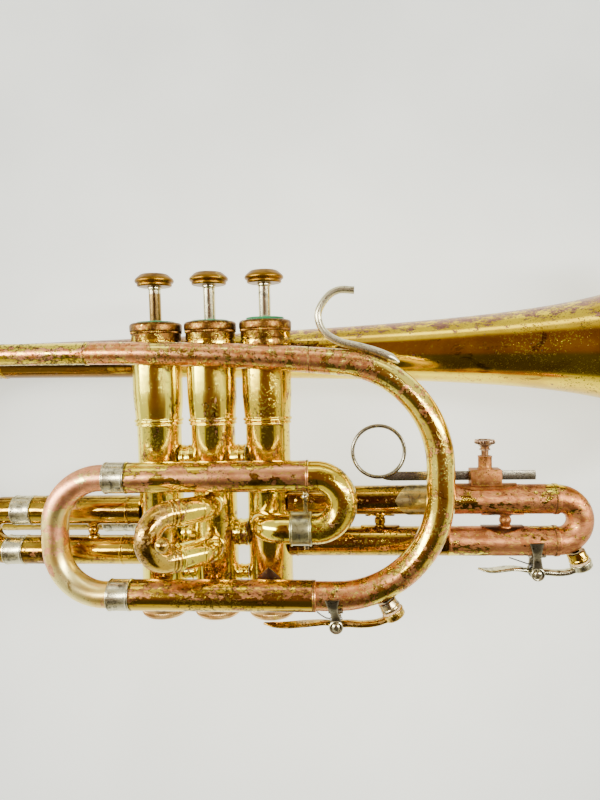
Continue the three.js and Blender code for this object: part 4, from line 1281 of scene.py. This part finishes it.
def key_saddle(origin, drop, radius):
    """Two straps that hang from a pad under the tube."""
    pivot = origin + DOWN * drop
    shape = Shape()
    for side in (-1, 1):
        inner = KEY_HALF_WIDTH + 0.3
        route = through([
            origin + Vector((-1.4, radius * 0.12, side * (radius + 0.25))),
            origin + Vector((-1.2, -radius * 0.42, side * (radius * 0.92 + 0.3))),
            origin + Vector((-0.7, -radius * 0.86, side * (radius * 0.66 + 0.5))),
            origin + Vector((-0.2, -radius - 1.6, side * (inner + 0.9))),
            pivot + Vector((0, 3.0, side * (inner + 0.6))),
            pivot + Vector((0, 0, side * (inner + 0.55))),
        ])
        shape.strip(route, strap_width, 0.6, FORWARD, 20, 0.75)
    pad = [(-3.2, -5.2, 5.2), (-2.9, -5.6, 5.6), (2.9, -5.6, 5.6), (3.2, -5.2, 5.2)]
    return shape.patch(origin, FORWARD, DOWN, radius, pad, 0.9, 16)


def key_pin(origin, drop):
    """The pin, with the round ears and heads that show at its two ends."""
    pivot = origin + DOWN * drop
    shape = Shape()
    inner = KEY_HALF_WIDTH + 0.3
    ear = raised(inner, [
        (0, 0), (3.1, 0), (3.1, 1.1), (2.6, 1.4), (1.8, 1.1), (1.7, 1.7), (0.9, 2.0), (0, 2.0),
    ])
    for side in (-1, 1):
        shape.lathe(rounded(ear, 0.15, 2), pivot, RIGHT * side, 40)
    pin = [(0, -3.9), (0.8, -3.9), (0.8, 3.9), (0, 3.9)]
    return shape.lathe(rounded(pin, 0.1, 2), pivot, RIGHT, 24)


def key_lever(origin, drop, tail, arm, cup, tilt):
    """A sprung lever: a spoon-shaped touch, a barrel on the pin, an arm and a cup."""
    pivot = origin + DOWN * drop
    shape = Shape()
    barrel = [(1.05, -KEY_HALF_WIDTH), (2.5, -KEY_HALF_WIDTH), (2.5, KEY_HALF_WIDTH), (1.05, KEY_HALF_WIDTH)]
    shape.lathe(rounded(barrel, 0.3, 3), pivot, RIGHT, 40)
    tail_route = through([origin + Vector((*point, 0)) for point in tail])
    shape.strip(tail_route, touch_width, lambda share: 1.15 - 0.6 * share, RIGHT, 24, 0.8)
    arm_route = through([origin + Vector((*point, 0)) for point in arm])
    shape.strip(arm_route, lambda share: 1.9 + 0.5 * share, lambda share: 1.6 - 0.4 * share, RIGHT, 24, 0.8)
    lean = math.radians(tilt)
    up_way = Vector((-math.sin(lean), math.cos(lean), 0))
    centre = origin + Vector((*cup, 0))
    outline = [
        (0, -2.4), (3.2, -2.4), (4.4, -1.9), (4.8, -1.2), (4.8, 0.6), (5.0, 0.8), (5.0, 1.4), (4.4, 1.5),
        (4.4, 0.5), (0, 0.5),
    ]
    shape.lathe(rounded(outline, 0.25, 3), centre, up_way, 48)
    return shape, centre, up_way


def cork_disc(centre, way):
    outline = rounded([(0, 0.6), (4.3, 0.6), (4.3, 2.1), (0, 2.1)], 0.4, 3)
    return Shape().lathe(outline, centre, way, 40)


def nipple(centre, way, reach):
    """The short drain tube that the cork closes."""
    outline = [(1.8, 2.3), (4.3, 2.3), (4.6, 2.6), (4.6, 3.4), (4.3, 3.8), (4.2, reach), (1.8, reach)]
    return Shape().lathe(rounded(outline, 0.2, 2), centre, way, 40)


def key_spring(origin, drop, reach):
    """Two turns of wire round the pin, with one end under the tube."""
    pivot = origin + DOWN * drop
    points = []
    for step in range(25):
        angle = 2 * math.pi * step / 12 + 0.6
        points.append(pivot + Vector((2.85 * math.cos(angle), 2.85 * math.sin(angle), -2.0 + step * 0.06)))
    points += [origin + Vector(point) for point in reach]
    return Shape().pipe(through(points, 2), 0.32, 0, 10, 0.05)


def fit_key(name, origin, drop, body, slot, cork_slot, metals, reach, wire, lever):
    """Adds a key's pin, lever, cork, nipple and spring. body is the one that carries the key."""
    lever_metal, nipple_metal = metals
    place(key_pin(origin, drop), name + "_pin", worn_nickel, body=body, slot=slot)
    shape, centre, way = key_lever(origin, drop, *lever)
    detailed(name + "_lever", shape, lever_metal)
    place(cork_disc(centre, way), name + "_cork", cork, body=name, slot=cork_slot)
    place(nipple(centre, way, reach), name + "_nipple", nipple_metal, body=body, slot=slot)
    place(key_spring(origin, drop, wire), name + "_spring", spring_steel, body=body, slot="spring_steel")


detailed("water_key_saddle", key_saddle(FIRST_KEY, FIRST_DROP, 6.4), dark_nickel)
fit_key(
    "water_key", FIRST_KEY, FIRST_DROP, "root", "nickel_silver", "lacquered_brass",
    (crook_brass, key_nickel), 6.4, [(-4.5, -10.6, -1.6), (-8.5, -7.6, -1.2)], (
        [
            (-0.5, -12.6), (-4.5, -12.0), (-9, -12.2), (-15, -12.7), (-22, -13.3), (-28, -13.2),
            (-32.4, -12.6),
        ],
        [(0.5, -12.6), (5.5, -12.3), (11, -12.6), (17, -12.0), (21.5, -10.6), (24.6, -9.4)],
        (25.4, -7.6), 29,
    ),
)

detailed("third_slide_leg_lower", third_leg(THIRD_Y[1]), third_copper)
place(
    key_saddle(THIRD_KEY, THIRD_DROP, THIRD_RADIUS), "third_water_key_saddle", dark_nickel,
    body="third_slide", slot="coppery_brass",
)
fit_key(
    "third_water_key", THIRD_KEY, THIRD_DROP, "third_slide", "coppery_brass", "nickel_silver",
    (worn_nickel, slide_brass), 6.6, [(-5, -10.6, -1.4), (-12, -7.7, 0.5)], (
        [
            (-0.5, -14.4), (-4.6, -13.6), (-9.5, -12.9), (-14, -13.2), (-19.5, -13.9), (-23, -13.7),
            (-26, -13.0),
        ],
        [(0.5, -14.4), (4.5, -14.6), (9.5, -15.0), (14, -14.6), (17.6, -13.4), (19.6, -12.8)],
        (20.4, -11.2), 24,
    ),
)

# ---- Finger ring, its rod, block and thumb screw ----


def finger_ring():
    shape = Shape()
    rings = []
    for step in range(96):
        angle = 2 * math.pi * step / 96
        spoke = Vector((math.cos(angle), math.sin(angle), 0))
        centre = Vector((RING_X, RING_Y, 0)) + spoke * RING_RADIUS
        ring = []
        for side in range(16):
            turn = 2 * math.pi * side / 16
            c, s = math.cos(turn), math.sin(turn)
            ring.append(centre + spoke * 0.9 * c + RIGHT * 1.5 * math.copysign(abs(s) ** 0.8, s))
        rings.append(ring)
    shape.skin(rings, loop=True)
    shape.block((RING_X + 5.4, ROD_Y - 2.1, -0.8), (148.4, ROD_Y + 2.1, 0.8), 0.2)
    root = through([
        (RING_X + 1.0, RING_Y - RING_RADIUS + 0.1, 0), (RING_X + 3.4, RING_Y - RING_RADIUS - 0.1, 0),
        (RING_X + 6.0, ROD_Y - 0.1, 0),
    ])
    return shape.strip(root, 0.85, lambda share: 0.6 + 1.5 * share, RIGHT, 20, 0.6)


ring_nickel = nickel("ring_nickel", (0.3, 1, 1), 0.6, 0.1, colour(146, 140, 120))
detailed("finger_ring", finger_ring(), ring_nickel)


def ring_block():
    """Two cheeks and a bridge round the rod, on a foot that follows the tube."""
    shape = Shape()
    low, high = 118.9, 132.7
    shape.block((low, ROD_Y - 4.2, 1.0), (high, BLOCK_TOP - 0.3, 3.8), 0.5)
    shape.block((low, ROD_Y - 4.2, -3.8), (high, BLOCK_TOP - 0.3, -1.0), 0.5)
    shape.block((low, BLOCK_TOP - 1.4, -3.8), (high, BLOCK_TOP, 3.8), 0.45)
    shape.block((low, ROD_Y - 4.6, -3.8), (high, ROD_Y - 2.4, 3.8), 0.4)
    foot = [
        (-14.0, -1.0, 1.0), (-12.6, -2.6, 2.6), (-9.0, -4.4, 4.4), (-7.2, -5.0, 5.0), (7.2, -5.0, 5.0),
        (9.0, -4.4, 4.4), (12.6, -2.6, 2.6), (14.0, -1.0, 1.0),
    ]
    shape.patch((SCREW_X, THIRD_Y[0], 0), FORWARD, UP, THIRD_RADIUS, foot, 0.6, 14)
    boss = [
        (2.05, BLOCK_TOP - 0.6), (3.5, BLOCK_TOP - 0.6), (3.5, BLOCK_TOP + 0.3), (3.1, BLOCK_TOP + 0.7),
        (3.1, BOSS_TOP - 0.6), (3.3, BOSS_TOP - 0.3), (3.3, BOSS_TOP), (2.05, BOSS_TOP),
    ]
    return shape.lathe(rounded(boss, 0.2, 2), (SCREW_X, 0, 0), UP, 48)


def thumb_screw():
    """A threaded shank under a coarsely knurled head."""
    thread = []
    height = ROD_Y + 2.6
    while height < BOSS_TOP + 2.4:
        thread += [(1.55, height), (1.8, height + 0.25)]
        height += 0.5
    outline = [(0, ROD_Y + 2.45), *thread] + raised(BOSS_TOP, [
        (1.7, 2.5), (2.5, 2.8), (2.5, 3.3), (1.9, 3.6), (2.2, 4.2), (3.2, 5.2), (4.5, 5.7), (4.7, 6.0),
        (4.7, 7.1), (4.5, 7.4), (3.9, 7.4), (3.6, 7.0), (0, 7.0),
    ])
    knurl = (BOSS_TOP + 5.0, BOSS_TOP + 7.45, 32, 0.5, 3.7)
    return Shape().lathe(outline, (SCREW_X, 0, 0), UP, 176, knurl)


detailed("ring_block", ring_block(), ring_copper)
detailed("thumb_screw", thumb_screw(), screw_brass)

# ---- Little-finger hook and braces ----


def pinky_hook():
    reach = MAIN_BOW_RADIUS + 6.1 + 1.5
    top_y = LOWER_Y + MAIN_BOW_RADIUS + MAIN_BOW_RISE

    def foot(degrees):
        angle = math.radians(degrees)
        return (MAIN_BOW_X + reach * math.cos(angle), top_y + reach * math.sin(angle), SIDE_Z)

    route = through([
        foot(57.5), foot(62), foot(68), foot(75), (60.4, 4.2, SIDE_Z), (53.6, 9.0, SIDE_Z),
        (51.6, 16.4, SIDE_Z), (55.4, 23.2, SIDE_Z), (60.6, 26.2, SIDE_Z), (67.3, 25.9, SIDE_Z),
    ], 10)

    def half_thickness(share):
        return min(1, 0.3 + share * 7) * (2.0 - 0.4 * min(1, share * 2))

    return Shape().strip(route, lambda share: 1.2 + 1.1 * min(1, share * 8), half_thickness, RIGHT, 32, 0.85)


detailed("pinky_hook", pinky_hook(), nickel("hook_nickel", (1, 1, 1), 0.3, 0.12))


def bell_brace():
    """A post from the bell's stem to the main bow's top run."""
    x, pipe_y = 42.0, -2.8
    near, far = bell_radius(x), SIDE_Z - 5.6
    level = (BELL_Y + pipe_y) / 2
    shape = Shape()
    post = raised(near, [
        (0, 0.2), (3.4, 0.2), (2.6, 1.2), (1.9, 2.4), (1.7, 6), (2.4, 7), (2.4, 8), (1.7, 9),
    ])
    post += raised(far - BELL_Z, [(1.9, -2.4), (2.6, -1.2), (3.4, -0.3), (0, -0.3)])
    shape.lathe(rounded(post, 0.3, 3), (x, level, BELL_Z), RIGHT, 48)
    plate = [(-8, -2.0, 3.0), (-7.6, -3.4, 5.0), (5.0, -3.4, 8.0), (8.2, -3.0, 0.4)]
    shape.patch((x, BELL_Y, BELL_Z), FORWARD, Vector((0, 0.22, 1)), near, plate, 0.7, 12)
    saddle = [(-6, -1.6, 1.6), (-4.4, -3.0, 3.0), (4.4, -3.0, 3.0), (6, -1.6, 1.6)]
    return shape.patch((x, -4.2, SIDE_Z), FORWARD, LEFT, 5.0, saddle, 0.7, 10)


detailed("bell_brace", bell_brace(), slide_brass)


def rear_brace():
    """A second post, behind the valves, between the bell's stem and the leadpipe."""
    x = -50.5
    pipe_y = joint_point.y
    near = bell_radius(x)
    shape = Shape()
    reach = SIDE_Z - 4.9 - BELL_Z
    post = raised(near, [(0, -0.2), (3.2, -0.2), (2.4, 1.2), (1.7, 2.6)])
    post += raised(reach, [(1.7, -2.6), (2.4, -1.2), (3.2, 0.3), (0, 0.3)])
    start = Vector((x, BELL_Y - 1.2, BELL_Z))
    lean = Vector((0, pipe_y - BELL_Y + 2.4, SIDE_Z - BELL_Z)).normalized()
    shape.lathe(rounded(post, 0.3, 3), start, lean, 40)
    plate = [(-6, -1.5, 2.0), (-5.2, -3.0, 3.4), (5.2, -3.0, 3.4), (6, -1.5, 2.0)]
    return shape.patch((x, BELL_Y, BELL_Z), FORWARD, Vector((0, -0.5, 1)), near, plate, 0.6, 10)


place(rear_brace(), "rear_brace", slide_brass, body="root", slot="lacquered_brass")

# A narrow stay from the upper main tube down to the third slide's outer tubes.
stay = Shape()
stay.strip(
    through([(43.4, UPPER_Y - 5.6, 13.5), (43.4, -66, 9.0), (43.4, -78, 7.6), (43.4, -90.5, 6.4)]),
    1.1, 0.6, FORWARD, 16, 0.7,
)
stay.ball((43.4, -65.2, 9.8), 1.9, 24)
place(stay, "slide_stay", worn_nickel, body="root", slot="nickel_silver")

# Small soldered plates on the casings.
plates = Shape()
plates.patch(
    (VALVE_SPACING, 0, 0), UP, Vector((0.0, 0, 1)), CASING_RADIUS,
    [(-104.4, -6.4, 6.4), (-102.6, -5.2, 5.2), (-100.2, -2.8, 2.8), (-97.9, -0.3, 0.3)], 0.55, 14,
)
place(plates, "casing_plate", dark_plate, body="root", slot="lacquered_brass")

# ---- Floor, light and camera ----

WALL_LOW = (0.84, 0.83, 0.78, 1)
WALL_HIGH = (0.86, 0.78, 0.54, 1)
CEILING_GREY = (0.07, 0.052, 0.028, 1)
CEILING_RED = (0.17, 0.058, 0.03, 1)
BACKDROP = (0.6, 0.6, 0.58, 1)
# Painted light on the floor: its glow strength, the point where the glow is brightest, and the reach over which it
# fades.
GLOW_STRENGTH = 1.8
GLOW_MIDDLE = (60, -60, 0)
GLOW_REACH = (80, 300)
FLOOR_HALF = 4.0
FLOOR_DROP = 0.0004


def floor_material():
    """Pale matte paper with painted light: it glows, brightest round the instrument, a painted pool of light that
    keeps its shadows soft.
    """
    graph = Graph("pale_floor")
    cloud = graph.noise(0.012, 4, 0.5)
    grain = graph.noise(0.25, 6, 0.6)
    tone = graph.mix(colour(150, 152, 144), colour(162, 164, 156), graph.step(cloud, 0.3, 0.7))
    away = graph.node("ShaderNodeVectorMath", {"operation": "DISTANCE"})
    graph.put(away.inputs[0], graph.place)
    away.inputs[1].default_value = GLOW_MIDDLE
    faded = graph.step(away.outputs["Value"], *GLOW_REACH)
    # Painted light: the floor's emission colour, bright and warm near the instrument, greyer further off.
    glow = graph.mix(colour(240, 239, 222), colour(178, 179, 174), faded)
    graph.set(Base_Color=tone, Roughness=0.8, Emission_Color=glow, Emission_Strength=GLOW_STRENGTH)
    graph.bump(grain, 0.15, 0.0004)
    return graph.material


def build_floor():
    mesh = bpy.data.meshes.new("floor")
    corners = [(x * FLOOR_HALF, y * FLOOR_HALF, 0) for x, y in ((-1, -1), (1, -1), (1, 1), (-1, 1))]
    mesh.from_pydata(corners, [], [(0, 1, 2, 3)])
    mesh.materials.append(floor_material())
    floor = bpy.data.objects.new("floor", mesh)
    bpy.context.scene.collection.objects.link(floor)
    floor.location.z = -FLOOR_DROP


def build_world():
    """A room with bright walls, brighter beyond the valves, and a narrow strip of dark ceiling.

    Polished tubes mirror it: the strip is reddish overhead and grey towards the slides. The
    camera itself sees a plain pale backdrop in the room's place.
    """
    world = bpy.data.worlds.new("studio")
    bpy.context.scene.world = world
    world.use_nodes = True
    graph = Tree(world.node_tree)
    graph.place = graph.node("ShaderNodeTexCoord").outputs["Generated"]
    split = graph.node("ShaderNodeSeparateXYZ", Vector=graph.place)
    up, valves = split.outputs["Z"], split.outputs["Y"]
    aside = graph.math("ABSOLUTE", split.outputs["X"])
    uneven = graph.step(graph.noise(2.6, 3, 0.5), 0.3, 0.7, -0.10, 0.10)
    height = graph.plus(up, graph.times(valves, -0.35))
    height = graph.plus(height, graph.times(aside, -0.5))
    height = graph.plus(height, uneven)
    walls = graph.mix(WALL_LOW, WALL_HIGH, graph.step(height, 0.0, 0.42))
    ceiling = graph.mix(CEILING_GREY, CEILING_RED, graph.step(valves, -0.48, -0.28))
    room = graph.mix(walls, ceiling, graph.step(height, 0.44, 0.60))
    seen = graph.node("ShaderNodeLightPath").outputs["Is Camera Ray"]
    background = world.node_tree.nodes["Background"]
    graph.put(background.inputs["Color"], graph.mix(room, BACKDROP, seen))
    graph.put(background.inputs["Strength"], graph.step(valves, -1.0, 1.0, 1.05, 1.2))


def softbox(name, place_at, size, power):
    light = bpy.data.lights.new(name, "AREA")
    light.shape = "RECTANGLE"
    light.size, light.size_y = size
    light.energy = power
    lamp = bpy.data.objects.new(name, light)
    bpy.context.scene.collection.objects.link(lamp)
    lamp.location = place_at
    lamp.rotation_euler = (-Vector(place_at)).to_track_quat("-Z", "Y").to_euler()


build_floor()
build_world()
softbox("left_softbox", (-1.3, 0.1, 1.0), (0.36, 1.4), 58)
softbox("right_softbox", (1.0, 0.1, 1.25), (0.22, 1.3), 42)
softbox("back_softbox", (0.1, 1.5, 0.9), (1.8, 0.3), 5)

CAMERA_LENS = 27
SENSOR_WIDTH = 36
CAMERA_PLACE = Vector((63.2, -6.7, 278.8))
CAMERA_RIGHT = Vector((0.9968, -0.0234, -0.0765))
CAMERA_BACK = Vector((0.0777, 0.0539, 0.9955))


def build_camera():
    """Looks square on to the valves from the player's right."""
    data = bpy.data.cameras.new("camera")
    data.lens = CAMERA_LENS
    data.sensor_width = SENSOR_WIDTH
    camera = bpy.data.objects.new("camera", data)
    bpy.context.scene.collection.objects.link(camera)
    back = (ATTITUDE @ CAMERA_BACK).normalized()
    side = ATTITUDE @ CAMERA_RIGHT
    side = (side - back * side.dot(back)).normalized()
    turn = Matrix((side, back.cross(side), back)).transposed()
    camera.matrix_world = Matrix.Translation(PLAYING @ CAMERA_PLACE) @ turn.to_4x4()
    data.clip_start = 0.01
    bpy.context.scene.camera = camera


build_camera()

bpy.context.view_layer.update()
